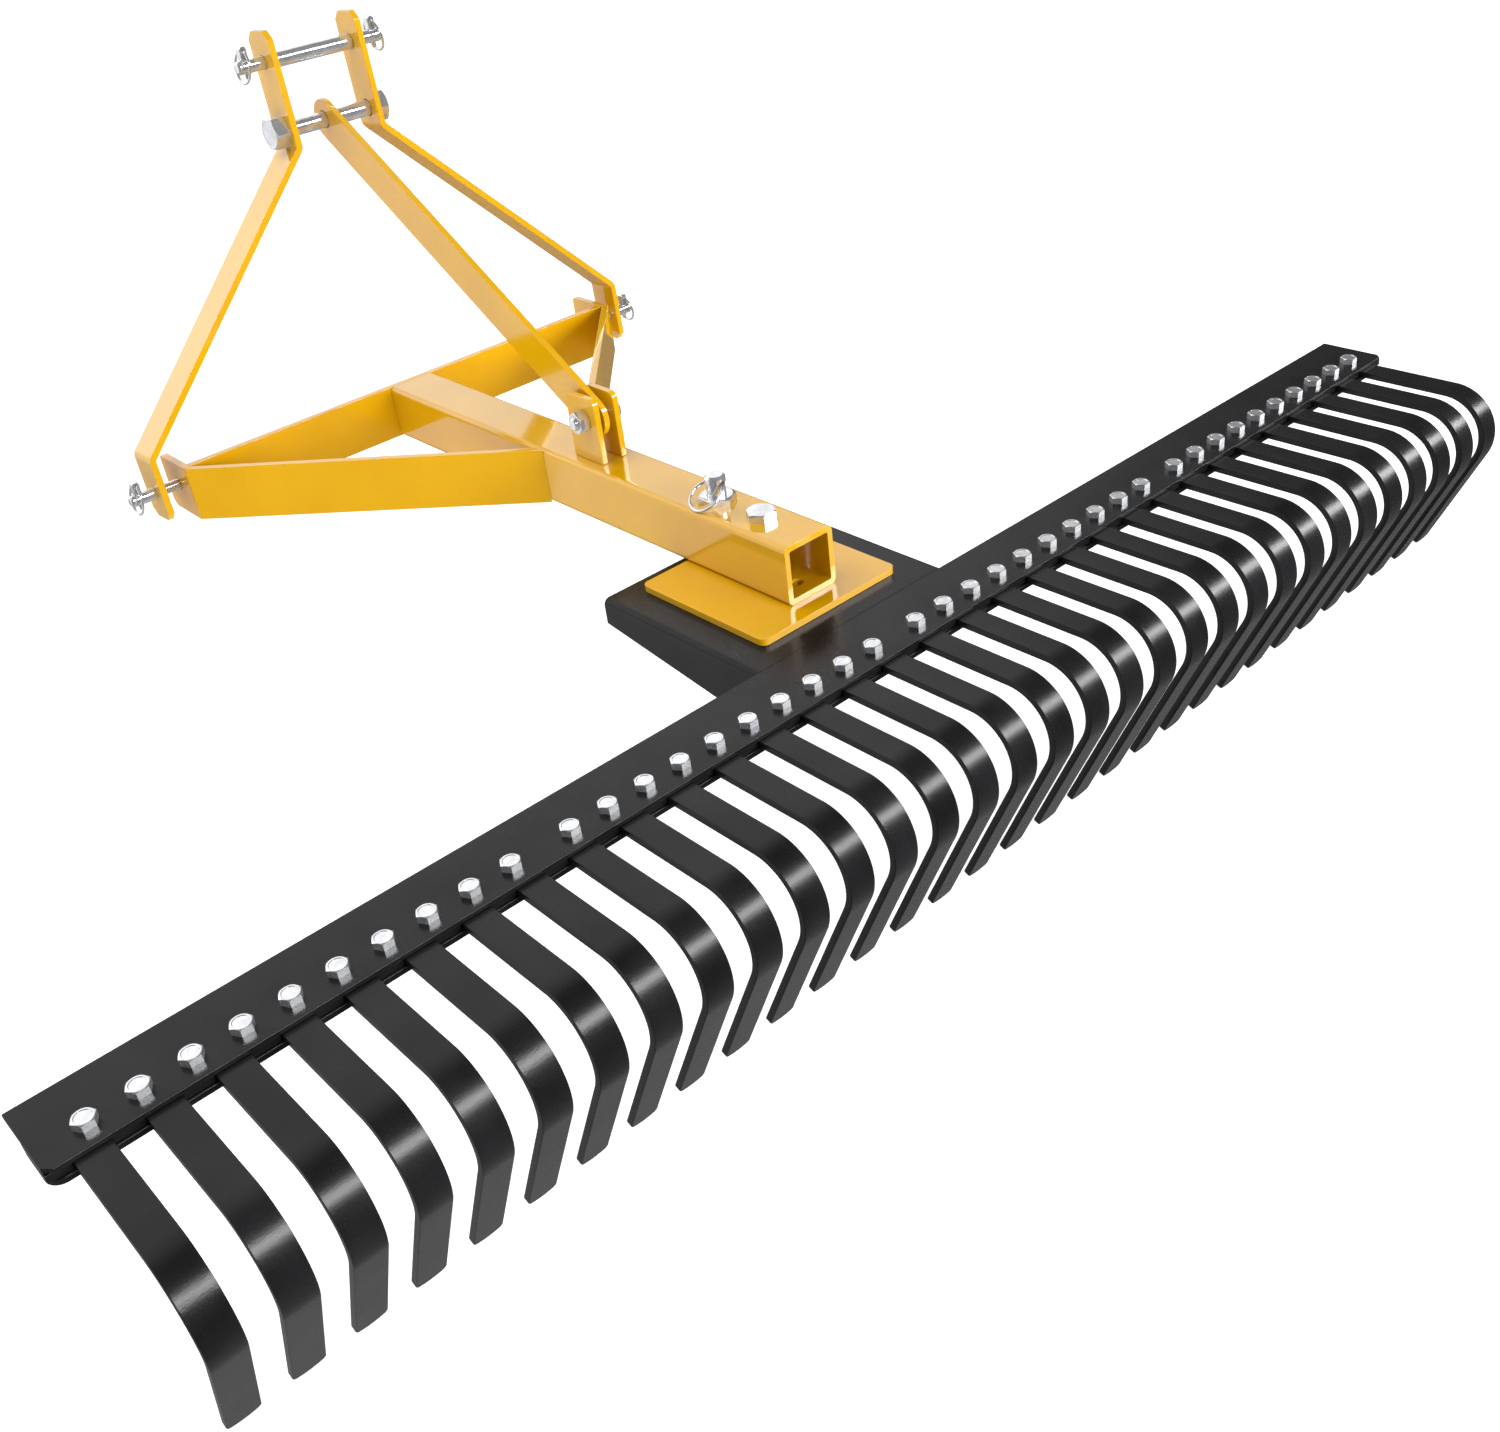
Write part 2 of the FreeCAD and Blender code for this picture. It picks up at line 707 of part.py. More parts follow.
# A strap of the mast, bent twice from flat bar and leaning forward about the hitch pin's line.
# It is drawn about the hitch pin, which is its own origin.
def makeStrap(name, side):
    body = newBody(name)
    thick = size("strapThick")
    topX = size("strapTopOuter")
    lowX = size("strapBottomOuter")
    lowBend = size("strapLowBend")
    highBend = size("strapHighBend")
    bottom = -size("strapBottomBelowPin")
    top = size("strapTopAbovePin")
    run = lowX - topX
    rise = highBend - lowBend
    length = rootOfSquares(run, rise)
    drop = thick * (length - rise) / run
    sketch = newSketch(body, "XZ_Plane", "StrapSide")
    outer = [(lowX, bottom), (lowX, lowBend), (topX, highBend), (topX, top)]
    inner = [(topX - thick, top), (topX - thick, highBend - drop), (lowX - thick, lowBend - drop),
             (lowX - thick, bottom)]
    drawLoop(sketch, [(side * x, y) for x, y in outer + inner])
    addPad(body, sketch, size("strapWide"), "StrapBar", midplane=True)
    sideways = Vector(1, 0, 0)
    forward = Vector(0, 1, 0)

    def atBend(edge, point, wide):
        places = [(lowX, lowBend), (topX - thick, highBend - drop)]
        if not wide:
            places = [(topX, highBend), (lowX - thick, lowBend - drop)]
        return along(edge, forward) and any(
            near(abs(point.x), x) and near(point.z, z) for x, z in places)

    dressEdges(body, "Fillet", size("strapBendRadius"), lambda edge, point: atBend(edge, point, True))
    dressEdges(body, "Fillet", size("strapBendRadius") - thick, lambda edge, point: atBend(edge, point, False))
    dressEdges(body, "Chamfer", size("strapCorner"), lambda edge, point: along(edge, sideways) and (
        near(point.z, top) or near(point.z, bottom)) and near(abs(point.y), size("strapWide") / 2))
    holes = newSketch(body, "YZ_Plane", "StrapHoles")
    lean = size("strapLean")
    setback = size("strapPinSetback")
    for across, alongStrap, radius in (
            (-setback * cosine(lean), -setback * sine(lean), size("hitchShankRadius")),
            (size("mastBoltAcross"), size("mastBoltAlong"), size("mastBoltRadius")),
            (size("topPinAcross"), size("topPinAlong"), size("topPinRadius"))):
        drawHiddenHole(holes, across, alongStrap, radius + size("holeClearance"))
    addPocket(body, holes, "StrapHoles")
    body.Placement = FreeCAD.Placement(Vector(0, 0, 0), FreeCAD.Rotation(Vector(1, 0, 0), -1))
    body.setExpression("Placement.Rotation.Angle", (-lean).formula)
    place(body, zero, strapAhead, hitchPinHigh)


# A plate of the clevis that stands on the tube
def makeClevisPlate(name, side):
    body = newBody(name)
    rear = size("clevisRear")
    front = rear + size("clevisLong")
    top = tubeTop + size("clevisHigh")
    sketch = newSketch(body, "YZ_Plane", "ClevisOutline", side * size("clevisInner"))
    drawLoop(sketch, box(rear, front, tubeTop, top))
    drawHiddenHole(sketch, braceBoltAhead, braceBoltHigh, size("braceBoltRadius") + size("holeClearance"))
    addPad(body, sketch, size("clevisThick"), reverse=side < 0)
    across = Vector(1, 0, 0)
    dressEdges(body, "Fillet", size("clevisCorner"),
               lambda edge, point: along(edge, across) and near(point.z, top))
    place(body)


# The brace from the clevis up to the mast bolt, a flat bar with round ends, drawn along its length
def makeBrace():
    body = newBody("centre_brace")
    run = mastBoltAhead - braceBoltAhead
    rise = mastBoltHigh - braceBoltHigh
    length = rootOfSquares(run, rise)
    half = size("braceWide") / 2
    sketch = newSketch(body, "YZ_Plane", "BraceOutline")
    lower = Vector(0, 0, 0)
    upper = Vector(length.value, 0, 0)
    up = Vector(0, half.value, 0)
    sketch.addGeometry(Part.LineSegment(lower - up, upper - up))
    sketch.addGeometry(Part.ArcOfCircle(Part.Circle(upper, UP, half.value), -math.pi / 2, math.pi / 2))
    sketch.addGeometry(Part.LineSegment(upper + up, lower + up))
    sketch.addGeometry(Part.ArcOfCircle(Part.Circle(lower, UP, half.value), math.pi / 2, 3 * math.pi / 2))
    for first, second in ((0, 1), (1, 2), (2, 3), (3, 0)):
        sketch.addConstraint(Sketcher.Constraint("Tangent", first, 2, second, 1))
    sketch.addConstraint(Sketcher.Constraint("Horizontal", 0))
    sketch.addConstraint(Sketcher.Constraint("Coincident", 3, 3, -1, 1))
    index = sketch.addConstraint(Sketcher.Constraint("Radius", 3, half.value))
    sketch.setExpression("Constraints[%d]" % index, half.formula)
    index = sketch.addConstraint(Sketcher.Constraint("DistanceX", 3, 3, 1, 3, length.value))
    sketch.setExpression("Constraints[%d]" % index, length.formula)
    drawHiddenHole(sketch, zero, zero, size("braceBoltRadius") + size("holeClearance"))
    drawHiddenHole(sketch, length, zero, size("mastBoltRadius") + size("holeClearance"))
    addPad(body, sketch, size("braceThick"), "BraceBar", midplane=True)
    body.Placement = FreeCAD.Placement(Vector(0, 0, 0), FreeCAD.Rotation(Vector(1, 0, 0), 1))
    body.setExpression("Placement.Rotation.Angle", slopeAngle(rise, run).formula)
    place(body, -size("braceOffset"), braceBoltAhead, braceBoltHigh)


# A bolt along X through pieces whose outer faces stand at the given reach, its head on the given side
def makeCrossBolt(name, reach, radius, flats, head, nut, stickout, ahead, high, headSide):
    body = newBody(name)
    sketch = newSketch(body, "YZ_Plane", "HeadOutline", headSide * reach)
    drawHexagon(sketch, zero, zero, flats)
    addPad(body, sketch, head, "Head", reverse=headSide < 0)
    shank = newSketch(body, "YZ_Plane", "ShankOutline", headSide * reach)
    drawShaft(shank, zero, zero, radius)
    addPad(body, shank, reach * 2 + nut + stickout, "Shank", reverse=headSide > 0)
    place(body, zero, ahead, high)


# The nut at the far end of a cross bolt
def makeCrossNut(name, reach, radius, flats, nut, ahead, high, side):
    body = newBody(name)
    sketch = newSketch(body, "YZ_Plane", "NutOutline", side * reach)
    drawHexagon(sketch, zero, zero, flats)
    drawHiddenHole(sketch, zero, zero, radius)
    addPad(body, sketch, nut, "Nut", reverse=side < 0)
    place(body, zero, ahead, high)


# A lower hitch pin: a shank through the end plate and the strap, a barrel for the link's ball,
# and a slightly thinner nose with the cross hole for the linch pin
def makeHitchPin(name, side):
    body = newBody(name)
    shoulder = size("strapBottomOuter")
    step = shoulder + size("hitchBarrelLong")
    end = size("hitchPinEnd")
    shank = newSketch(body, "YZ_Plane", "ShankOutline", side * size("hitchPinInner"))
    drawShaft(shank, zero, zero, size("hitchShankRadius"), HIDDEN_SIDES)
    addPad(body, shank, shoulder - size("hitchPinInner"), "Shank", reverse=side < 0)
    barrel = newSketch(body, "YZ_Plane", "BarrelOutline", side * shoulder)
    drawCircle(barrel, zero, zero, size("hitchBarrelRadius"))
    addPad(body, barrel, size("hitchBarrelLong"), "Barrel", reverse=side < 0)
    nose = newSketch(body, "YZ_Plane", "NoseOutline", side * step)
    drawShaft(nose, zero, zero, size("hitchNoseRadius"))
    addPad(body, nose, end - step, "Nose", reverse=side < 0)
    dressEdges(body, "Chamfer", size("pinChamfer"), lambda edge, point: near(point.x, side * end) and near(
        edge.Vertexes[0].Point.x, side * end))
    addLinchHole(body, side, end)
    place(body, zero, size("hitchPinAhead"), hitchPinHigh)


# The cross hole for a linch pin near the end of a pin along X
def addLinchHole(body, side, end):
    hole = newSketch(body, "XY_Plane", "CrossHole")
    radius = size("linchRadius") + size("seatGap")
    drawPolygon(hole, side * (end - size("linchSetback")), zero, radius, THIN_SIDES)
    addPocket(body, hole, "CrossHole")


# The top link pin, with a cross hole for a linch pin near each end
def makeTopPin():
    body = newBody("top_link_pin")
    end = size("topPinHalf")
    sketch = newSketch(body, "YZ_Plane", "PinOutline")
    drawShaft(sketch, zero, zero, size("topPinRadius"))
    addPad(body, sketch, end * 2, "Pin", midplane=True)
    dressEdges(body, "Chamfer", size("pinChamfer"), lambda edge, point: near(abs(point.x), end))
    for side in (-1, 1):
        addLinchHole(body, side, end)
    place(body, zero, topPinAhead, topPinHigh)


# The sleeve on the top link pin between the straps
def makeTopSleeve():
    body = newBody("top_link_sleeve")
    reach = size("strapTopOuter") - size("strapThick") - size("holeClearance")
    sketch = newSketch(body, "YZ_Plane", "SleeveSection")
    drawShaft(sketch, zero, zero, size("topSleeveRadius"))
    drawHiddenHole(sketch, zero, zero, size("topPinRadius") + size("seatGap"))
    addPad(body, sketch, reach * 2, "Sleeve", midplane=True)
    place(body, zero, topPinAhead, topPinHigh)


# A linch pin: a stem down through the cross hole and a flat-sided head that the ring hangs in
def makeLinchPin(name, side, end, pinRadius, ahead, high):
    body = newBody(name)
    low = -pinRadius - size("linchTip")
    seat = pinRadius + size("seatGap")
    hole = size("linchPivotUp")
    top = hole + size("linchHeadAboveHole")
    half = size("linchHeadHalfWidth")
    cut = size("linchHeadCorner")
    sketch = newSketch(body, "XZ_Plane", "HeadOutline")
    drawLoop(sketch, [(-half, seat), (half, seat), (half, top - cut), (half - cut, top), (cut - half, top),
                      (-half, top - cut)])
    drawCircle(sketch, zero, hole, size("linchRingHoleRadius"))
    addPad(body, sketch, size("linchHeadHalfDeep") * 2, "Head", midplane=True)
    stem = newSketch(body, "XY_Plane", "StemOutline", low)
    drawShaft(stem, zero, zero, size("linchRadius"), THIN_SIDES)
    addPad(body, stem, seat - low, "Stem")
    place(body, side * (end - size("linchSetback")), ahead, high)


# A wire ring: a six-sided wire swept round a path of short straight runs, flat on its own XY plane
def makeRing(name, radius, wire):
    body = newBody(name)
    path = newSketch(body, "XY_Plane", "RingPath")
    reach = radius / math.cos(math.pi / RING_RUNS)
    points = [(radius, zero)]
    for corner in range(RING_RUNS):
        turn = 2 * math.pi * (corner + 0.5) / RING_RUNS
        points.append((reach * math.cos(turn), reach * math.sin(turn)))
    drawLoop(path, points)
    section = newSketch(body, "XZ_Plane", "WireSection")
    drawHexagon(section, radius, zero, wire * 2)
    sweep = body.newObject("PartDesign::AdditivePipe", "Wire")
    sweep.Profile = section
    sweep.Spine = path
    sweep.Transition = "Right corner"
    body.Placement = FreeCAD.Placement(Vector(0, 0, 0), FreeCAD.Rotation(Vector(0, 1, 0), 1))
    return body


# A linch pin's ring, which hangs round the pin's end and leans on the tip of the stem
def makeLinchRing(name, side, end, ahead, high):
    radius = size("linchRingRadius")
    wire = size("linchRingWire")
    ring = makeRing(name, radius, wire)
    drop = radius - size("linchRingSag")
    tilt = slopeAngle(size("linchRadius") + wire * 2 + size("holeClearance"), radius * 2)
    ring.setExpression("Placement.Rotation.Angle", (asSize(90) - side * tilt).formula)
    place(ring, side * (end - size("linchSetback") + drop * sine(tilt)), ahead,
          high + size("linchPivotUp") - drop * cosine(tilt))


# The pivot bolt, its head on the tube and its shank down through the tube, plate and channel
def makePivotBolt():
    body = newBody("pivot_bolt")
    ceiling = size("beamTop") - size("channelSheet")
    stack = size("runningClearance") + size("pivotWasherThick") + size("pivotNutHigh") + size("pivotStickout")
    sketch = newSketch(body, "XY_Plane", "HeadOutline", tubeTop)
    drawHexagon(sketch, zero, zero, size("pivotHeadFlats"), start=0)
    addPad(body, sketch, size("pivotHeadHigh"), "Head")
    shank = newSketch(body, "XY_Plane", "ShankOutline", ceiling - stack)
    drawCircle(shank, zero, zero, size("pivotRadius"))
    addPad(body, shank, tubeTop - ceiling + stack, "Shank")
    place(body, zero, size("pivotAhead"))


# The washer and nut below the channel
def makePivotNut():
    body = newBody("pivot_nut")
    ceiling = size("beamTop") - size("channelSheet") - size("runningClearance")
    bore = size("pivotRadius") + size("seatGap")
    washer = newSketch(body, "XY_Plane", "WasherOutline", ceiling - size("pivotWasherThick"))
    drawShaft(washer, zero, zero, size("pivotWasherRadius"))
    drawHiddenHole(washer, zero, zero, bore)
    addPad(body, washer, size("pivotWasherThick"), "Washer")
    nut = newSketch(body, "XY_Plane", "NutOutline", ceiling - size("pivotWasherThick"))
    drawHexagon(nut, zero, zero, size("pivotHeadFlats"), start=0)
    drawHiddenHole(nut, zero, zero, bore)
    addPad(body, nut, size("pivotNutHigh"), "Nut", reverse=True)
    place(body, zero, size("pivotAhead"))


# The six-sided collar on the tube that guides the lock pin
def makeCollar():
    body = newBody("lock_collar")
    sketch = newSketch(body, "XY_Plane", "CollarOutline", tubeTop)
    drawHexagon(sketch, zero, zero, size("collarFlats"))
    drawPolygon(sketch, zero, zero, size("lockPinRadius") + size("runningClearance"), ROUND_SIDES)
    addPad(body, sketch, size("collarHigh"))
    place(body, zero, lockPinAhead)


# The lock pin, with both ends bevelled and a cross hole for its ring.
# It is drawn lifted just clear of the channel, so that the rake can swing.
def makeLockPin():
    body = newBody("lock_pin")
    low = size("beamTop") + size("lockPinNoseGap")
    sketch = newSketch(body, "XY_Plane", "PinOutline", low)
    drawShaft(sketch, zero, zero, size("lockPinRadius"))
    addPad(body, sketch, lockPinTop - low, "Pin")
    dressEdges(body, "Chamfer", size("lockPinChamfer"),
               lambda edge, point: near(point.z, low) or near(point.z, lockPinTop))
    hole = newSketch(body, "XZ_Plane", "RingHole")
    drawCircle(hole, zero, lockPinTop - size("lockPinHoleBelowTop"), size("lockPinHoleRadius"))
    addPocket(body, hole, "RingHole")
    place(body, zero, lockPinAhead)


# The lock pin's ring, which droops to the left onto the tube
def makeLockRing():
    radius = size("lockRingRadius")
    ring = makeRing("lock_ring", radius, size("lockRingWire"))
    droop = size("lockRingDroop")
    drop = radius - size("lockRingSag")
    ring.setExpression("Placement.Rotation.Angle", (-droop).formula)
    place(ring, -drop * cosine(droop), lockPinAhead,
          lockPinTop - size("lockPinHoleBelowTop") - drop * sine(droop))


makeTopPlate()
makeComb()
makeLowerBar()
makeTines()
makeTineBolts()
makeTineNuts()
makeChannel()
makePivotPlate()
makeTube()
makeCrossBar()
makeBrace()
makePivotBolt()
makePivotNut()
makeCollar()
makeLockPin()
makeLockRing()
makeTopPin()
makeTopSleeve()

strapReach = size("strapTopOuter")
clevisReach = size("clevisInner") + size("clevisThick")
makeCrossBolt("mast_bolt", strapReach, size("mastBoltRadius"), size("mastBoltFlats"), size("mastHeadThick"),
              size("mastNutThick"), size("mastStickout"), mastBoltAhead, mastBoltHigh, -1)
makeCrossNut("mast_nut", strapReach, size("mastBoltRadius") + size("seatGap"), size("mastBoltFlats"),
             size("mastNutThick"), mastBoltAhead, mastBoltHigh, 1)
makeCrossBolt("brace_bolt", clevisReach, size("braceBoltRadius"), size("braceBoltFlats"), size("braceHeadThick"),
              size("braceNutThick"), size("braceStickout"), braceBoltAhead, braceBoltHigh, 1)
makeCrossNut("brace_nut", clevisReach, size("braceBoltRadius") + size("seatGap"), size("braceBoltFlats"),
             size("braceNutThick"), braceBoltAhead, braceBoltHigh, -1)
for hand, side in (("left", -1), ("right", 1)):
    makeEndPlate("%s_end_plate" % hand, side)
    makeDiagonal("%s_diagonal" % hand, side)
    makeStrap("%s_strap" % hand, side)
    makeClevisPlate("%s_clevis_plate" % hand, side)
    makeHitchPin("%s_hitch_pin" % hand, side)
    makeCrossNut("%s_hitch_nut" % hand, endPlateInner - size("hitchNutThick"),
                 size("hitchShankRadius") + size("seatGap"), size("hitchNutFlats"), size("hitchNutThick"),
                 size("hitchPinAhead"), hitchPinHigh, side)
    makeLinchPin("%s_hitch_linch_pin" % hand, side, size("hitchPinEnd"), size("hitchNoseRadius"),
                 size("hitchPinAhead"), hitchPinHigh)
    makeLinchRing("%s_hitch_linch_ring" % hand, side, size("hitchPinEnd"), size("hitchPinAhead"), hitchPinHigh)
    makeLinchPin("%s_top_linch_pin" % hand, side, size("topPinHalf"), size("topPinRadius"),
                 topPinAhead, topPinHigh)
    makeLinchRing("%s_top_linch_ring" % hand, side, size("topPinHalf"), topPinAhead, topPinHigh)

document.recompute()

# Every feature must have built, and every node must be sound, before anything is written
for feature in document.Objects:
    if "Invalid" in feature.State or "Error" in feature.State:
        raise RuntimeError("%s failed: %s" % (feature.Name, feature.State))
for node in nodes:
    if node.Shape.isNull() or not node.Shape.isValid():
        raise RuntimeError("%s has no sound shape" % node.Label)

os.makedirs("parts", exist_ok=True)
for node in nodes:
    node.Shape.exportStep("parts/%s.step" % node.Label)
print("%d nodes, drawn about a point %.2f mm ahead of the bolts" % (len(nodes), originAhead.value))
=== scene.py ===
import json
import math
import bpy
import bmesh
from mathutils import Matrix, Vector


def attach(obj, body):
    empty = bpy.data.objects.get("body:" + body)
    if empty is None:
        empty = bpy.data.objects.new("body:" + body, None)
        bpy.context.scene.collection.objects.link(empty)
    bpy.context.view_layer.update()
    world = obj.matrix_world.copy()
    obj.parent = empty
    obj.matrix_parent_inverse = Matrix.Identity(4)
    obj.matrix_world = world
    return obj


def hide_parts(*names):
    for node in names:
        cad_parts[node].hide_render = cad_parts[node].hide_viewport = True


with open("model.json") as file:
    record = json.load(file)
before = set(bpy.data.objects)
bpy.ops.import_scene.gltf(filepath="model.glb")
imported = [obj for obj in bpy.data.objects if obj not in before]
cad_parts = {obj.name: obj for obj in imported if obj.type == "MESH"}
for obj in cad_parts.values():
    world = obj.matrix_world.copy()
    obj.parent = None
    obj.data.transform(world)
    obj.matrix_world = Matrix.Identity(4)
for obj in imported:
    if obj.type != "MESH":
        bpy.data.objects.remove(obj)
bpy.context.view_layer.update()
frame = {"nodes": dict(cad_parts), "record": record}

nodes = frame["nodes"]
print("frame loaded,", len(nodes), "nodes")


# The camera stands behind the rake's left end and looks down along it
camera = {"azimuth": -38.586, "elevation": 33.671, "roll": -7.202, "place": (-0.9816, -1.37484, 1.0645),
          "lens": 37.617, "sensor": 36, "shift": (-0.0013, 0.0027), "clip": (0.05, 50)}


def makeCamera():
    turn, lift, roll = (math.radians(camera[k]) for k in ("azimuth", "elevation", "roll"))
    back = Vector((math.sin(turn) * math.cos(lift), -math.cos(turn) * math.cos(lift), math.sin(lift)))
    side = Vector((0, 0, 1)).cross(back).normalized()
    up = back.cross(side)
    sideRolled = math.cos(roll) * side + math.sin(roll) * up
    upRolled = math.cos(roll) * up - math.sin(roll) * side
    data = bpy.data.cameras.new("camera")
    data.lens, data.sensor_width = camera["lens"], camera["sensor"]
    data.shift_x, data.shift_y = camera["shift"]
    data.clip_start, data.clip_end = camera["clip"]
    eye = bpy.data.objects.new("camera", data)
    bpy.context.scene.collection.objects.link(eye)
    facing = Matrix((sideRolled, upRolled, back)).transposed().to_4x4()
    eye.matrix_world = Matrix.Translation(camera["place"]) @ facing
    bpy.context.scene.camera = eye


makeCamera()
print("camera placed")


# Material helpers
def newMaterial(name):
    material = bpy.data.materials.new(name)
    material.use_nodes = True
    tree = material.node_tree
    return material, tree, tree.nodes["Principled BSDF"]


def noiseAt(tree, scale, detail=2.0):
    coords = tree.nodes.new("ShaderNodeTexCoord")
    noise = tree.nodes.new("ShaderNodeTexNoise")
    noise.inputs["Scale"].default_value = scale
    noise.inputs["Detail"].default_value = detail
    tree.links.new(coords.outputs["Object"], noise.inputs["Vector"])
    return noise.outputs["Fac"]


# Two close tones run into each other between these places of the noise
toneEnds = {"deep": 0.3, "bright": 0.7}


def patchyColour(tree, shader, patches, stops):
    node = tree.nodes.new("ShaderNodeValToRGB")
    for element, (place, colour) in zip(node.color_ramp.elements, stops):
        element.position = place
        element.color = (*colour, 1)
    tree.links.new(noiseAt(tree, *patches), node.inputs["Fac"])
    tree.links.new(node.outputs["Color"], shader.inputs["Base Color"])


def twoTones(tree, shader, finish):
    patchyColour(tree, shader, finish["patches"], [(place, finish[tone]) for tone, place in toneEnds.items()])


def spreadNode(tree, source, start, end, low, high, kind="LINEAR"):
    node = tree.nodes.new("ShaderNodeMapRange")
    node.interpolation_type = kind
    for socket, value in zip(("From Min", "From Max", "To Min", "To Max"), (start, end, low, high)):
        node.inputs[socket].default_value = value
    tree.links.new(source, node.inputs["Value"])
    return node.outputs["Result"]


def patchyGloss(tree, shader, finish):
    gloss = spreadNode(tree, noiseAt(tree, *finish["glossPatches"]), 0, 1, *finish["gloss"])
    tree.links.new(gloss, shader.inputs["Roughness"])


def addBump(tree, shader, source, strength, distance):
    bump = tree.nodes.new("ShaderNodeBump")
    bump.inputs["Strength"].default_value = strength
    bump.inputs["Distance"].default_value = distance
    tree.links.new(source, bump.inputs["Height"])
    tree.links.new(bump.outputs["Normal"], shader.inputs["Normal"])


# Glossy yellow powder coat: a smooth skin with a faint orange peel
yellowCoat = {"deep": (0.62, 0.325, 0.001), "bright": (0.68, 0.36, 0.002), "patches": (9, 3),
              "gloss": (0.08, 0.14), "glossPatches": (30, 3), "skin": 0.5, "skinGloss": 0.05,
              "skinIndex": 1.6, "peelScale": 420, "peelShare": 0.12, "peel": 0.00003}


def yellowPowderCoat():
    material, tree, shader = newMaterial("yellowPowderCoat")
    twoTones(tree, shader, yellowCoat)
    patchyGloss(tree, shader, yellowCoat)
    shader.inputs["Coat Weight"].default_value = yellowCoat["skin"]
    shader.inputs["Coat Roughness"].default_value = yellowCoat["skinGloss"]
    shader.inputs["Coat IOR"].default_value = yellowCoat["skinIndex"]
    addBump(tree, shader, noiseAt(tree, yellowCoat["peelScale"]), yellowCoat["peelShare"], yellowCoat["peel"])
    return material


# Satin black powder coat with a fine texture that breaks up the highlights
blackCoat = {"deep": (0.005, 0.005, 0.0055), "bright": (0.011, 0.011, 0.012), "patches": (14, 3),
             "gloss": (0.12, 0.36), "glossPatches": (850, 3), "shine": 0.18,
             "grainPatches": (850, 3), "grainShare": 0.6, "grain": 0.00016}


def blackPowderCoat():
    material, tree, shader = newMaterial("blackPowderCoat")
    twoTones(tree, shader, blackCoat)
    patchyGloss(tree, shader, blackCoat)
    shader.inputs["Specular IOR Level"].default_value = blackCoat["shine"]
    grain = noiseAt(tree, *blackCoat["grainPatches"])
    addBump(tree, shader, grain, blackCoat["grainShare"], blackCoat["grain"])
    return material


# Bright zinc plate, a little cloudy, with a faint bluish tint
zincPlate = {"deep": (0.60, 0.61, 0.63), "bright": (0.77, 0.78, 0.805), "patches": (90, 4),
             "gloss": (0.06, 0.14), "glossPatches": (160, 4), "metal": 0.82}


def brightZinc():
    material, tree, shader = newMaterial("brightZinc")
    twoTones(tree, shader, zincPlate)
    patchyGloss(tree, shader, zincPlate)
    shader.inputs["Metallic"].default_value = zincPlate["metal"]
    return material


finishes = {"yellow_powder_coat": yellowPowderCoat(), "black_powder_coat": blackPowderCoat(),
            "zinc": brightZinc()}
finishOf = {row["node"]: row["material_slot"] for row in frame["record"]["subparts"]}
bodyOf = {node: body for body, names in frame["record"]["behaviour"]["bodies"].items() for node in names}
for name, node in nodes.items():
    for slot in node.material_slots:
        slot.material = finishes[finishOf[name]]
print("materials assigned")


# Points nearer than the weld become one, and corners steeper than the sharp angle stay sharp
cleaning = {"weld": 0.000002, "cadWeld": 0.00001, "cadFlat": 1.0, "sharp": 38.0}
rounding = {"steps": 2, "profile": 0.5}


# Makes an object of the finished shape, which stands for the CAD nodes and moves with their body
def addPiece(name, shape, *stoodFor, smooth=cleaning["sharp"]):
    mesh = bpy.data.meshes.new(name)
    bmesh.ops.remove_doubles(shape, verts=shape.verts, dist=cleaning["weld"])
    bmesh.ops.recalc_face_normals(shape, faces=shape.faces)
    shape.to_mesh(mesh)
    shape.free()
    mesh.shade_smooth()
    mesh.set_sharp_from_angle(angle=math.radians(smooth))
    mesh.materials.append(finishes[finishOf[stoodFor[0]]])
    piece = bpy.data.objects.new(name, mesh)
    bpy.context.scene.collection.objects.link(piece)
    even = piece.modifiers.new("evenNormals", "WEIGHTED_NORMAL")
    even.keep_sharp = True
    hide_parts(*stoodFor)
    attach(piece, bodyOf[stoodFor[0]])


def roundEdges(shape, width, least=cleaning["sharp"]):
    edges = [edge for edge in shape.edges
             if len(edge.link_faces) == 2 and edge.calc_face_angle(0) > math.radians(least)]
    bmesh.ops.bevel(shape, geom=edges, offset=width, offset_type="OFFSET", segments=rounding["steps"],
                    profile=rounding["profile"], affect="EDGES", clamp_overlap=True, material=-1)


# A plate or bar from the CAD with its edges rounded as a coated edge is, and its folds smooth
def softened(name, width):
    shape = bmesh.new()
    shape.from_mesh(nodes[name].data)
    bmesh.ops.remove_doubles(shape, verts=shape.verts, dist=cleaning["cadWeld"])
    bmesh.ops.dissolve_limit(shape, angle_limit=math.radians(cleaning["cadFlat"]), verts=shape.verts,
                             edges=shape.edges)
    roundEdges(shape, width)
    return shape


# The coated plates, bars and tube, in metres: each keeps its place, and the coat rounds its edges
softEdges = {
    "beam_top_plate": 0.0008, "comb_bar": 0.0005, "lower_bar": 0.0008, "pivot_channel": 0.0008,
    "pivot_plate": 0.0014, "main_tube": 0.0006, "cross_bar": 0.001, "centre_brace": 0.0011,
    "left_end_plate": 0.001, "right_end_plate": 0.001, "left_diagonal": 0.001, "right_diagonal": 0.001,
    "left_strap": 0.0011, "right_strap": 0.0011, "left_clevis_plate": 0.001, "right_clevis_plate": 0.001}

# The photograph shows a thicker wall at the tube's open end than the solid has
tubeWall = {"middle": 0.2708, "outside": 0.032, "flat": 0.02, "thicker": 0.002}


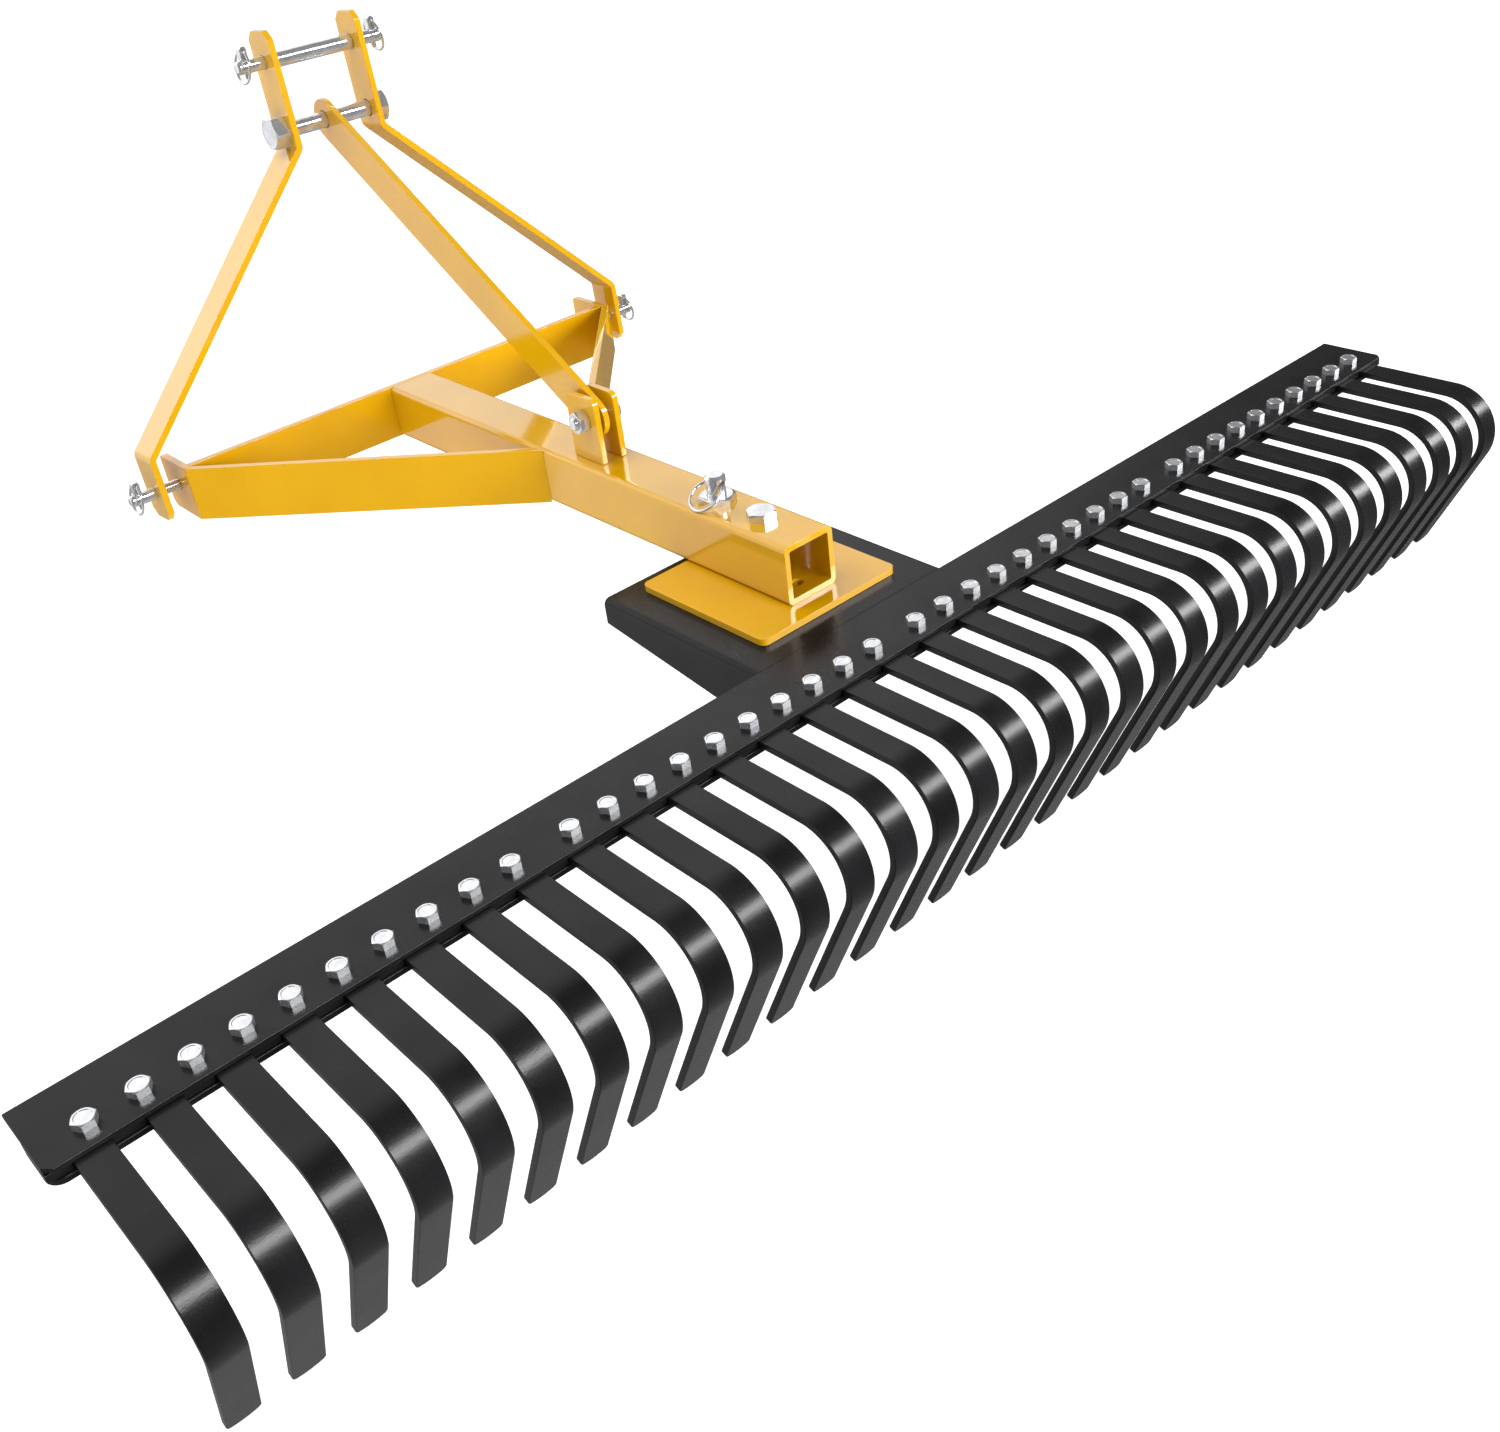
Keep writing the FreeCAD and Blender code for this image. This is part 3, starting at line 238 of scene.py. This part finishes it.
def thickened(shape):
    for vertex in shape.verts:
        across, up = vertex.co.x, vertex.co.z - tubeWall["middle"]
        if max(abs(across), abs(up)) < tubeWall["outside"]:
            if abs(across) > tubeWall["flat"]:
                vertex.co.x -= math.copysign(tubeWall["thicker"], across)
            if abs(up) > tubeWall["flat"]:
                vertex.co.z -= math.copysign(tubeWall["thicker"], up)
    return shape


for name, width in softEdges.items():
    shape = softened(name, width)
    addPiece("coated_" + name, thickened(shape) if name == "main_tube" else shape, name)
print("coated plates ready")


# From here on sizes are in millimetres, in the drawing's own axes, with the row of tine bolts at Y = 0
boltsBehindMiddle = 394.74
beamLong = 1829
toRow = Matrix.Scale(0.001, 4) @ Matrix.Translation((0, -boltsBehindMiddle, 0))
alongX, alongZ = Vector((1, 0, 0)), Vector((0, 0, 1))


def moved(shape, *steps):
    for step in steps:
        bmesh.ops.transform(shape, matrix=step, verts=shape.verts)
    return shape


def turnedAbout(axis, degrees):
    return Matrix.Rotation(math.radians(degrees), 4, axis)


def placed(x, y, z):
    return Matrix.Translation((x, y, z))


# Cuts away what lies beyond a plane and closes the cut
def cutBeyond(shape, point, outward):
    everything = shape.verts[:] + shape.edges[:] + shape.faces[:]
    cut = bmesh.ops.bisect_plane(shape, geom=everything, plane_co=point, plane_no=outward, clear_outer=True)
    rim = [part for part in cut["geom_cut"] if isinstance(part, bmesh.types.BMEdge)]
    if rim:
        bmesh.ops.contextual_create(shape, geom=rim)


# Joins copies of one mesh into a row
def rowOf(shape, places):
    pattern = bpy.data.meshes.new("pattern")
    shape.to_mesh(pattern)
    shape.free()
    row = bmesh.new()
    for x in places:
        before = len(row.verts)
        row.from_mesh(pattern)
        row.verts.ensure_lookup_table()
        bmesh.ops.translate(row, verts=row.verts[before:], vec=(x, 0, 0))
    bpy.data.meshes.remove(pattern)
    return row


# The spring-steel tines: flat bar with rolled edges, one smooth bend and a curved tip with round corners
tine = {"count": 32, "perNode": 8, "inset": 35.65, "wide": 30.0, "thick": 7.95, "tail": -8.5,
        "bendAt": -138.0, "top": 222.48, "radius": 58.95, "angle": 24.6, "bendSteps": 30,
        "edge": 1.1, "edgeOver": 50, "tipSpare": 0.05, "tipArc": 3.2, "tipCuts": 4,
        "tipCorner": 6.0, "cornerCuts": (30, 45, 60, 75)}


def tineShape():
    shape = bmesh.new()
    bmesh.ops.create_cube(shape, size=1)
    long = tine["tail"] - tine["bendAt"]
    moved(shape, Matrix.Diagonal((tine["wide"], long, tine["thick"], 1)),
          placed(0, tine["bendAt"] + long / 2, tine["top"] - tine["thick"] / 2))
    shape.faces.ensure_lookup_table()
    rear = min(shape.faces, key=lambda face: face.calc_center_median().y)
    centre = Vector((0, tine["bendAt"], tine["top"] - tine["radius"]))
    bent = bmesh.ops.spin(shape, geom=[rear] + rear.edges[:] + rear.verts[:], cent=centre, axis=alongX,
                          angle=math.radians(90 + tine["angle"]), steps=tine["bendSteps"])
    end = [part for part in bent["geom_last"] if isinstance(part, bmesh.types.BMFace)][0]
    slope = math.radians(tine["angle"])
    down = Vector((0, math.sin(slope), -math.cos(slope)))
    low = min(end.verts, key=lambda vert: vert.co.y).co.z
    leg = bmesh.ops.extrude_face_region(shape, geom=[end])
    tip = [part for part in leg["geom"] if isinstance(part, bmesh.types.BMVert)]
    bmesh.ops.delete(shape, geom=[end], context="FACES_ONLY")
    bmesh.ops.translate(shape, verts=tip, vec=down * (low - tine["tipSpare"]) / math.cos(slope))
    lowest = min(tip, key=lambda vert: vert.co.z).co.copy()
    lowest.x = 0
    shapeTip(shape, lowest, down)
    bmesh.ops.recalc_face_normals(shape, faces=shape.faces)
    roundEdges(shape, tine["edge"], least=tine["edgeOver"])
    return shape


def shapeTip(shape, lowest, down):
    half = tine["wide"] / 2
    for cut in range(-tine["tipCuts"], tine["tipCuts"] + 1):
        across = half * cut / (tine["tipCuts"] + 0.5)
        steep = 2 * tine["tipArc"] * across / half ** 2
        point = lowest + alongX * across - down * tine["tipArc"] * (across / half) ** 2
        cutBeyond(shape, point, (down + alongX * steep).normalized())
    corner = tine["tipCorner"]
    reach = half - corner
    back = tine["tipArc"] * (reach / half) ** 2 + corner
    for side in (-1, 1):
        for lean in tine["cornerCuts"]:
            outward = down * math.cos(math.radians(lean)) + alongX * side * math.sin(math.radians(lean))
            cutBeyond(shape, lowest + alongX * side * reach - down * back + outward * corner, outward)


def tineGroup(first):
    pitch = (beamLong - 2 * tine["inset"]) / (tine["count"] - 1)
    middle = (tine["count"] - 1) / 2
    return rowOf(tineShape(), [pitch * (first + n - middle) for n in range(tine["perNode"])])


for group in range(tine["count"] // tine["perNode"]):
    addPiece("spring_tines_%d" % (group + 1), moved(tineGroup(group * tine["perNode"]), toRow),
             "tines_%d" % (group + 1))
print("tines bent")


# How the hardware is turned: a chamfer at 30 degrees in flat cuts, threads, and cross holes
chamfer = {"cuts": 30, "out": 0.5, "up": 0.866}
turning = {"steps": 48, "weld": 0.0001}
thread = {"crest": (0.4, 0.6)}
boring = {"sides": 24, "reach": 60}


# Takes the corners off one end, which leaves a round rim
def turnedChamfer(shape, radius, end, sign):
    for number in range(chamfer["cuts"]):
        turn = 2 * math.pi * (number + 0.5) / chamfer["cuts"]
        out = Vector((math.cos(turn), math.sin(turn), 0))
        cutBeyond(shape, out * radius + alongZ * end, out * chamfer["out"] + alongZ * sign * chamfer["up"])


# A hexagon along Z with a corner or a flat on the X axis. The rim is the share of the flats left round
def hexagon(flats, low, high, rim, top=True, bottom=False, cornerOnX=True):
    shape = bmesh.new()
    corner = flats / 2 / math.cos(math.pi / 6)
    bmesh.ops.create_cone(shape, cap_ends=True, segments=6, radius1=corner, radius2=corner, depth=high - low)
    moved(shape, turnedAbout("Z", 30 if cornerOnX else 0), placed(0, 0, (low + high) / 2))
    if top:
        turnedChamfer(shape, flats / 2 * rim, high, 1)
    if bottom:
        turnedChamfer(shape, flats / 2 * rim, low, -1)
    return shape


# A shallow ring pressed into the flat top of a head
def pressedRing(shape, land, deep):
    face = max(shape.faces, key=lambda one: one.calc_center_median().z)
    bmesh.ops.inset_individual(shape, faces=[face], thickness=land)
    bmesh.ops.inset_individual(shape, faces=[face], thickness=deep, depth=-deep)
    return shape


# A round piece turned about X from its outline of places and radii
def turned(outline, steps=turning["steps"]):
    shape = bmesh.new()
    corners = [shape.verts.new((along, radius, 0)) for along, radius in outline]
    for one, two in zip(corners, corners[1:]):
        shape.edges.new((one, two))
    bmesh.ops.spin(shape, geom=shape.verts[:] + shape.edges[:], cent=(0, 0, 0), axis=alongX,
                   angle=2 * math.pi, steps=steps, use_merge=True)
    bmesh.ops.remove_doubles(shape, verts=shape.verts, dist=turning["weld"])
    bmesh.ops.recalc_face_normals(shape, faces=shape.faces)
    return shape


def turnedUpright(outline, steps=turning["steps"]):
    return moved(turned(outline, steps), turnedAbout("Y", -90))


# The outline of a thread between two places, with its crests at the full radius
def threadOutline(start, end, radius, pitch, deep):
    turns = max(1, round(abs(end - start) / pitch))
    step = (end - start) / turns
    rise, fall = thread["crest"]
    outline = []
    for number in range(turns):
        at = start + step * number
        outline += [(at, radius - deep), (at + step * rise, radius), (at + step * fall, radius)]
    return outline + [(end, radius - deep)]


def joined(*shapes):
    whole = bmesh.new()
    for shape in shapes:
        part = bpy.data.meshes.new("part")
        shape.to_mesh(part)
        shape.free()
        whole.from_mesh(part)
        bpy.data.meshes.remove(part)
    return whole


# Drills a cross hole along Z or Y through a turned piece
def drilled(shape, radius, place, axis="Z"):
    drill = bmesh.new()
    bmesh.ops.create_cone(drill, cap_ends=True, segments=boring["sides"], radius1=radius, radius2=radius,
                          depth=boring["reach"])
    if axis == "Y":
        moved(drill, turnedAbout("X", 90))
    moved(drill, placed(*place))
    holders = []
    for part in (shape, drill):
        mesh = bpy.data.meshes.new("cutting")
        part.to_mesh(mesh)
        part.free()
        holder = bpy.data.objects.new("cutting", mesh)
        bpy.context.scene.collection.objects.link(holder)
        holders.append(holder)
    cut = holders[0].modifiers.new("cut", "BOOLEAN")
    cut.operation, cut.solver, cut.object = "DIFFERENCE", "EXACT", holders[1]
    seen = holders[0].evaluated_get(bpy.context.evaluated_depsgraph_get())
    result = bmesh.new()
    result.from_mesh(seen.to_mesh())
    seen.to_mesh_clear()
    for holder in holders:
        mesh = holder.data
        bpy.data.objects.remove(holder)
        bpy.data.meshes.remove(mesh)
    return result


# The tine bolts stand in four groups of ten, with a half pitch more between the groups
bolts = {"inset": 42.33, "groups": 4, "inGroup": 10, "flats": 18.0, "headLow": 227.5, "headHigh": 7.5,
         "rim": 0.96, "ringLand": 1.3, "ringDeep": 0.6, "nutTop": 208.5, "nutHigh": 10.0, "nutRim": 0.98,
         "stud": 5.7, "studOut": 4.0, "studTip": 1.2, "studSteps": 20, "threadIn": 0.8, "threadPitch": 1.6,
         "threadDeep": 0.45}


def boltRow():
    last = bolts["groups"] * bolts["inGroup"] - 1
    pitch = (beamLong - 2 * bolts["inset"]) / (last + (bolts["groups"] - 1) / 2)
    return [pitch * (n - last / 2 + (n // bolts["inGroup"] - (bolts["groups"] - 1) / 2) / 2)
            for n in range(last + 1)]


def boltHead():
    head = hexagon(bolts["flats"], bolts["headLow"], bolts["headLow"] + bolts["headHigh"], bolts["rim"])
    return pressedRing(head, bolts["ringLand"], bolts["ringDeep"])


def boltNut():
    low, radius = bolts["nutTop"] - bolts["nutHigh"], bolts["stud"]
    nut = hexagon(bolts["flats"], low, bolts["nutTop"], bolts["nutRim"], top=False, bottom=True)
    end = low - bolts["studOut"]
    crests = threadOutline(end + bolts["threadIn"], low, radius, bolts["threadPitch"], bolts["threadDeep"])
    return joined(nut, turnedUpright([(end, 0), (end, radius - bolts["studTip"])] + crests + [(low, 0)],
                                     bolts["studSteps"]))


addPiece("plated_tine_bolts", moved(rowOf(boltHead(), boltRow()), toRow), "tine_bolts", smooth=25)
addPiece("plated_tine_nuts", moved(rowOf(boltNut(), boltRow()), toRow), "tine_nuts", smooth=30)
print("tine bolts ready")


# The swivel: pivot bolt and nut, the lock pin with its collar and ring
swivel = {"ahead": 190.0, "tubeTop": 305.8, "ceiling": 222.5, "flats": 30.0, "head": 10.0, "rim": 1.04,
          "shank": 10.0, "shankBelow": 24.3, "shankTip": 8.6, "threadFrom": 1, "threadTo": 30,
          "plainFrom": 31, "threadPitch": 2, "threadDeep": 0.6, "nutGap": 0.3, "nutHigh": 16,
          "nutRim": 0.98, "bore": 10.1, "washer": 18.5, "washerHigh": 3, "washerEdge": 0.4}
lock = {"ahead": 262.0, "top": 338.0, "low": 228.5, "radius": 10.9, "taper": 3, "capHigh": 9, "capLip": 0.5,
        "capOver": 1.2, "capSlope": 3, "capIn": 1.6, "hinge": 328.5, "hingeBore": 3.8, "ring": 20.3,
        "ringWire": 1.75, "droop": 33.2, "sag": 1.6, "collarHigh": 8.5, "collarFlats": 38,
        "collarRim": 18.2 / 19, "collarBore": 11.3}
wire = {"sides": 14, "steps": 64}


def pivotBolt():
    base, radius = swivel["tubeTop"], swivel["shank"]
    head = hexagon(swivel["flats"], base, base + swivel["head"], swivel["rim"])
    low = swivel["ceiling"] - swivel["shankBelow"]
    crests = threadOutline(low + swivel["threadFrom"], low + swivel["threadTo"], radius,
                           swivel["threadPitch"], swivel["threadDeep"])
    shank = turnedUpright([(low, 0), (low, swivel["shankTip"])] + crests
                          + [(low + swivel["plainFrom"], radius), (base, radius), (base, 0)])
    return moved(joined(head, shank), placed(0, swivel["ahead"], 0), toRow)


def pivotNut():
    high = swivel["ceiling"] - swivel["nutGap"]
    under, edge = high - swivel["washerHigh"], swivel["washerEdge"]
    bore, wide = swivel["bore"], swivel["washer"]
    washer = turnedUpright([(under, bore), (under, wide - edge), (under + edge, wide), (high - edge, wide),
                            (high, wide - edge), (high, bore), (under, bore)])
    nut = hexagon(swivel["flats"], under - swivel["nutHigh"], under, swivel["nutRim"], top=False, bottom=True)
    nut = drilled(nut, bore, (0, 0, under - swivel["nutHigh"] / 2))
    return moved(joined(nut, washer), placed(0, swivel["ahead"], 0), toRow)


def lockPin():
    low, top, wide = lock["low"], lock["top"], lock["radius"]
    under, cap = top - lock["capHigh"], wide + lock["capOver"]
    pin = turnedUpright([(low, 0), (low, wide - lock["taper"]), (low + lock["taper"], wide), (under, wide),
                         (under + lock["capLip"], cap), (top - lock["capSlope"], cap),
                         (top, wide - lock["capIn"]), (top, 0)])
    pin = drilled(pin, lock["hingeBore"], (0, 0, lock["hinge"]), "Y")
    return moved(pin, placed(0, lock["ahead"], 0), toRow)


def wireRing(radius, thick, tilt, centre):
    shape = bmesh.new()
    bmesh.ops.create_circle(shape, segments=wire["sides"], radius=thick)
    moved(shape, turnedAbout("X", 90), placed(radius, 0, 0))
    bmesh.ops.spin(shape, geom=shape.verts[:] + shape.edges[:], cent=(0, 0, 0), axis=alongZ,
                   angle=2 * math.pi, steps=wire["steps"], use_merge=True)
    return moved(shape, turnedAbout("Y", tilt), placed(*centre), toRow)


def lockRing():
    droop = math.radians(lock["droop"])
    drop = lock["ring"] - lock["sag"]
    centre = (-drop * math.cos(droop), lock["ahead"], lock["hinge"] - drop * math.sin(droop))
    return wireRing(lock["ring"], lock["ringWire"], -lock["droop"], centre)


def lockCollar():
    top = swivel["tubeTop"] + lock["collarHigh"]
    shape = hexagon(lock["collarFlats"], swivel["tubeTop"], top, lock["collarRim"], cornerOnX=False)
    return moved(drilled(shape, lock["collarBore"], (0, 0, top)), placed(0, lock["ahead"], 0), toRow)


addPiece("plated_pivot_bolt", pivotBolt(), "pivot_bolt", smooth=25)
addPiece("plated_pivot_nut", pivotNut(), "pivot_nut", smooth=28)
addPiece("plated_lock_pin", lockPin(), "lock_pin", smooth=32)
addPiece("plated_lock_ring", lockRing(), "lock_ring")
addPiece("plated_lock_collar", lockCollar(), "lock_collar", smooth=25)
print("swivel ready")


# The two bolts across the mast and the clevis, and what they have alike
crossBolts = {
    "mast": {"reach": 65.0, "radius": 10.0, "flats": 36.0, "head": 20.0, "nut": 14.0, "out": 4.0,
             "at": (955.02, 646.01), "headSide": -1, "cornerUp": False},
    "brace": {"reach": 18.3, "radius": 8.0, "flats": 24.0, "head": 10.0, "nut": 13.0, "out": 4.0,
              "at": (470.0, 357.0), "headSide": 1, "cornerUp": True}}
crossShape = {"rim": 0.96, "ringLand": 1.4, "ringDeep": 0.3, "nutRim": 0.98, "nutPlay": 0.1, "tip": 2,
              "tipLong": 1.2, "tipStep": 0.7, "threadFrom": 1.6, "threadPast": 6, "plainPast": 7,
              "threadPitch": 2, "threadDeep": 0.6, "play": 0.05}


# Drawn with the head towards +X, then turned over where it is on the left
def crossBolt(bolt):
    reach, flats, radius = bolt["reach"], bolt["flats"], bolt["radius"]
    head = hexagon(flats, reach, reach + bolt["head"], crossShape["rim"], cornerOnX=bolt["cornerUp"])
    moved(pressedRing(head, crossShape["ringLand"], crossShape["ringDeep"]), turnedAbout("Y", 90))
    low, plain = -reach - bolt["nut"] - bolt["out"], radius - crossShape["play"]
    crests = threadOutline(low + crossShape["threadFrom"], -reach + crossShape["threadPast"], plain,
                           crossShape["threadPitch"], crossShape["threadDeep"])
    shank = turned([(low, 0), (low, radius - crossShape["tip"]),
                    (low + crossShape["tipLong"], radius - crossShape["tipStep"])] + crests
                   + [(-reach + crossShape["plainPast"], plain), (reach, plain), (reach, 0)])
    turn = 180 if bolt["headSide"] < 0 else 0
    return moved(joined(head, shank), turnedAbout("Z", turn), placed(0, *bolt["at"]), toRow)


def crossNut(reach, nut, flats, bore, side, at, cornerUp=True):
    shape = hexagon(flats, reach, reach + nut, crossShape["nutRim"], bottom=True, cornerOnX=cornerUp)
    shape = moved(drilled(shape, bore, (0, 0, reach + nut / 2)), turnedAbout("Y", 90 * side))
    return moved(shape, placed(0, *at), toRow)


for name, bolt in crossBolts.items():
    nut = crossNut(bolt["reach"], bolt["nut"], bolt["flats"], bolt["radius"] + crossShape["nutPlay"],
                   -bolt["headSide"], bolt["at"], bolt["cornerUp"])
    addPiece("plated_%s_bolt" % name, crossBolt(bolt), "%s_bolt" % name, smooth=25)
    addPiece("plated_%s_nut" % name, nut, "%s_nut" % name, smooth=25)
print("cross bolts ready")


# The hitch pins, the top link pin and what hangs on them
pins = {"hitchAt": (933.0, 275.4), "hitchEnd": 408.0, "shoulder": 374.0, "shoulderEdge": 0.4, "barrel": 8.0,
        "barrelLong": 17.0, "barrelEdge": 0.3, "nose": 7.6, "shank": 7.0, "shankTip": 1.2, "shankPlay": 0.1,
        "inner": 314.0, "threadFrom": 1, "threadShort": 9, "plainFrom": 8.5, "threadPlay": 0.02,
        "threadPitch": 2, "threadDeep": 0.65, "plateInner": 331.5, "nutThick": 12.0, "nutFlats": 22.0,
        "topAt": (961.04, 726.51), "topEnd": 102.0, "topRadius": 8.0, "topPlay": 0.03, "setback": 12.0,
        "sleeve": 9.45, "sleeveReach": 56.7, "sleeveEdge": 0.6, "sleevePlay": 0.1,
        "linch": 3.1, "linchEdge": 0.0006, "ring": 18.7, "ringWire": 1.6, "ringUp": 18.5,
        "ringDrop": 18.35, "ringLean": 6.5}
nose = {"long": 2.5, "rim": 0.5, "rimIn": 1.9, "endIn": 2.8}


# The rounded nose of a pin, up to its end
def noseOutline(end, radius):
    return [(end - nose["long"], radius), (end - nose["rim"], radius - nose["rimIn"]),
            (end, radius - nose["endIn"]), (end, 0)]


def hitchPin(side):
    end, shoulder, inner = pins["hitchEnd"], pins["shoulder"], pins["inner"]
    step, plain = shoulder + pins["barrelLong"], pins["shank"] - pins["shankPlay"]
    crests = threadOutline(inner + pins["threadFrom"], shoulder - pins["threadShort"],
                           pins["shank"] - pins["threadPlay"], pins["threadPitch"], pins["threadDeep"])
    pin = turned([(inner, 0), (inner, pins["shank"] - pins["shankTip"])] + crests
                 + [(shoulder - pins["plainFrom"], plain), (shoulder, plain),
                    (shoulder, pins["barrel"] - pins["shoulderEdge"]),
                    (shoulder + pins["shoulderEdge"], pins["barrel"]),
                    (step - pins["barrelEdge"], pins["barrel"]), (step, pins["nose"])]
                 + noseOutline(end, pins["nose"]))
    pin = drilled(pin, pins["linch"], (end - pins["setback"], 0, 0))
    return moved(pin, turnedAbout("Z", 0 if side > 0 else 180), placed(0, *pins["hitchAt"]), toRow)


def topPin():
    end = pins["topEnd"]
    half = noseOutline(end, pins["topRadius"] - pins["topPlay"])
    pin = turned([(-at, wide) for at, wide in reversed(half)] + half)
    for side in (-1, 1):
        pin = drilled(pin, pins["linch"], (side * (end - pins["setback"]), 0, 0))
    return moved(pin, placed(0, *pins["topAt"]), toRow)


def topSleeve():
    reach, wide, edge = pins["sleeveReach"], pins["sleeve"], pins["sleeveEdge"]
    bore = pins["topRadius"] + pins["sleevePlay"]
    shape = turned([(-reach, bore), (-reach, wide - edge), (edge - reach, wide), (reach - edge, wide),
                    (reach, wide - edge), (reach, bore), (-reach, bore)])
    return moved(shape, placed(0, *pins["topAt"]), toRow)


def linchRing(side, end, at):
    tilt = math.atan2(pins["ringLean"], pins["ring"] * 2)
    centre = (side * (end - pins["setback"] + pins["ringDrop"] * math.sin(tilt)), at[0],
              at[1] + pins["ringUp"] - pins["ringDrop"] * math.cos(tilt))
    return wireRing(pins["ring"], pins["ringWire"], 90 - side * math.degrees(tilt), centre)


addPiece("plated_top_link_pin", topPin(), "top_link_pin", smooth=32)
addPiece("plated_top_link_sleeve", topSleeve(), "top_link_sleeve", smooth=32)
for hand, side in (("left", -1), ("right", 1)):
    nut = crossNut(pins["plateInner"] - pins["nutThick"], pins["nutThick"], pins["nutFlats"],
                   pins["shank"] + pins["shankPlay"], side, pins["hitchAt"])
    addPiece("plated_%s_hitch_pin" % hand, hitchPin(side), hand + "_hitch_pin", smooth=32)
    addPiece("plated_%s_hitch_nut" % hand, nut, hand + "_hitch_nut", smooth=25)
    for kind in ("hitch", "top"):
        linch = "%s_%s_linch_" % (hand, kind)
        ring = linchRing(side, pins[kind + "End"], pins[kind + "At"])
        addPiece("plated_%spin" % linch, softened(linch + "pin", pins["linchEdge"]), linch + "pin", smooth=50)
        addPiece("plated_%sring" % linch, ring, linch + "ring")
print("hitch pins ready")


# A pale floor in a dim studio with two bright walls, in metres: one ahead of the hitch, one on the left.
# A long strip lamp behind makes the highlights. Two soft lamps light the coat and don't show in its gloss.
studio = {"floorHalf": 30.0, "floorTones": [(0.2, (0.54, 0.54, 0.54)), (0.8, (0.56, 0.56, 0.56))],
          "floorPatches": (0.6,), "floorRough": 0.9, "floorShine": 0.2, "floorGlow": 0.85,
          "backShare": 0.95, "backSides": 48, "dim": 0.13, "groundShine": 0.3, "groundFrom": (-0.35, -1.0),
          "walls": [((0.1, 0.8, 0.6), (0.66, 0.92), 1.3), ((-0.75, 0.65, 0.1), (0.64, 0.92), 1.05)]}
lamps = {
    "key": {"power": 650.0, "at": (2.6, -3.0, 2.32), "aim": (2.6, -0.59, 0.18), "size": (7.6, 0.85),
            "shines": True},
    "fill": {"power": 240.0, "at": (0.6, -4.2, 1.2), "aim": (0, 0, 0.3), "size": (3.0, 1.6),
             "shines": False},
    "top": {"power": 100.0, "at": (-1.4, 0.6, 4.0), "aim": (0, 0, 0.3), "size": (3.0, 3.0),
            "shines": False}}


def paleFloor():
    material, tree, shader = newMaterial("paleFloor")
    patchyColour(tree, shader, studio["floorPatches"], studio["floorTones"])
    shader.inputs["Roughness"].default_value = studio["floorRough"]
    shader.inputs["Specular IOR Level"].default_value = studio["floorShine"]
    shader.inputs["Emission Color"].default_value = (1, 1, 1, 1)
    shader.inputs["Emission Strength"].default_value = studio["floorGlow"]
    return material


def studioPiece(name, shape, material):
    mesh = bpy.data.meshes.new(name)
    shape.to_mesh(mesh)
    shape.free()
    mesh.materials.append(material)
    piece = bpy.data.objects.new(name, mesh)
    bpy.context.scene.collection.objects.link(piece)
    return piece


def makeFloor(material):
    shape = bmesh.new()
    bmesh.ops.create_grid(shape, x_segments=1, y_segments=1, size=studio["floorHalf"])
    floor = studioPiece("floor", shape, material)
    floor.visible_glossy = False  # the gloss shows the studio's walls, not the bright floor


# A round white wall far behind, which only the camera sees
def makeBackdrop(material):
    shape = bmesh.new()
    far = studio["floorHalf"] * studio["backShare"]
    bmesh.ops.create_cone(shape, segments=studio["backSides"], radius1=far, radius2=far, depth=far,
                          cap_ends=False)
    bmesh.ops.reverse_faces(shape, faces=shape.faces)
    backdrop = studioPiece("backdrop", shape, material)
    backdrop.visible_glossy = backdrop.visible_diffuse = backdrop.visible_shadow = False


def makeLamp(name, lamp):
    data = bpy.data.lights.new(name, "AREA")
    data.shape, data.energy = "RECTANGLE", lamp["power"]
    data.size, data.size_y = lamp["size"]
    light = bpy.data.objects.new(name, data)
    bpy.context.scene.collection.objects.link(light)
    light.location = lamp["at"]
    light.visible_glossy, light.visible_diffuse = lamp["shines"], not lamp["shines"]
    light.rotation_mode = "QUATERNION"
    light.rotation_quaternion = (Vector(lamp["aim"]) - Vector(lamp["at"])).to_track_quat("-Z", "Y")


def makeSky():
    world = bpy.data.worlds.new("studio")
    bpy.context.scene.world = world
    world.use_nodes = True
    tree = world.node_tree
    coords = tree.nodes.new("ShaderNodeTexCoord")
    split = tree.nodes.new("ShaderNodeSeparateXYZ")
    tree.links.new(coords.outputs["Generated"], split.inputs["Vector"])
    total = spreadNode(tree, split.outputs["Z"], *studio["groundFrom"], studio["dim"],
                       studio["dim"] + studio["groundShine"])
    for towards, (start, end), bright in studio["walls"]:
        dot = tree.nodes.new("ShaderNodeVectorMath")
        dot.operation = "DOT_PRODUCT"
        dot.inputs[1].default_value = Vector(towards).normalized()
        tree.links.new(coords.outputs["Generated"], dot.inputs[0])
        add = tree.nodes.new("ShaderNodeMath")
        wall = spreadNode(tree, dot.outputs["Value"], start, end, 0, bright, "SMOOTHSTEP")
        tree.links.new(total, add.inputs[0])
        tree.links.new(wall, add.inputs[1])
        total = add.outputs["Value"]
    tree.links.new(total, tree.nodes["Background"].inputs["Strength"])
    tree.nodes["Background"].inputs["Color"].default_value = (1, 1, 1, 1)


pale = paleFloor()
makeFloor(pale)
makeBackdrop(pale)
makeSky()
for name, lamp in lamps.items():
    makeLamp(name, lamp)
bpy.context.scene.view_settings.view_transform = "Standard"
print("stage ready")
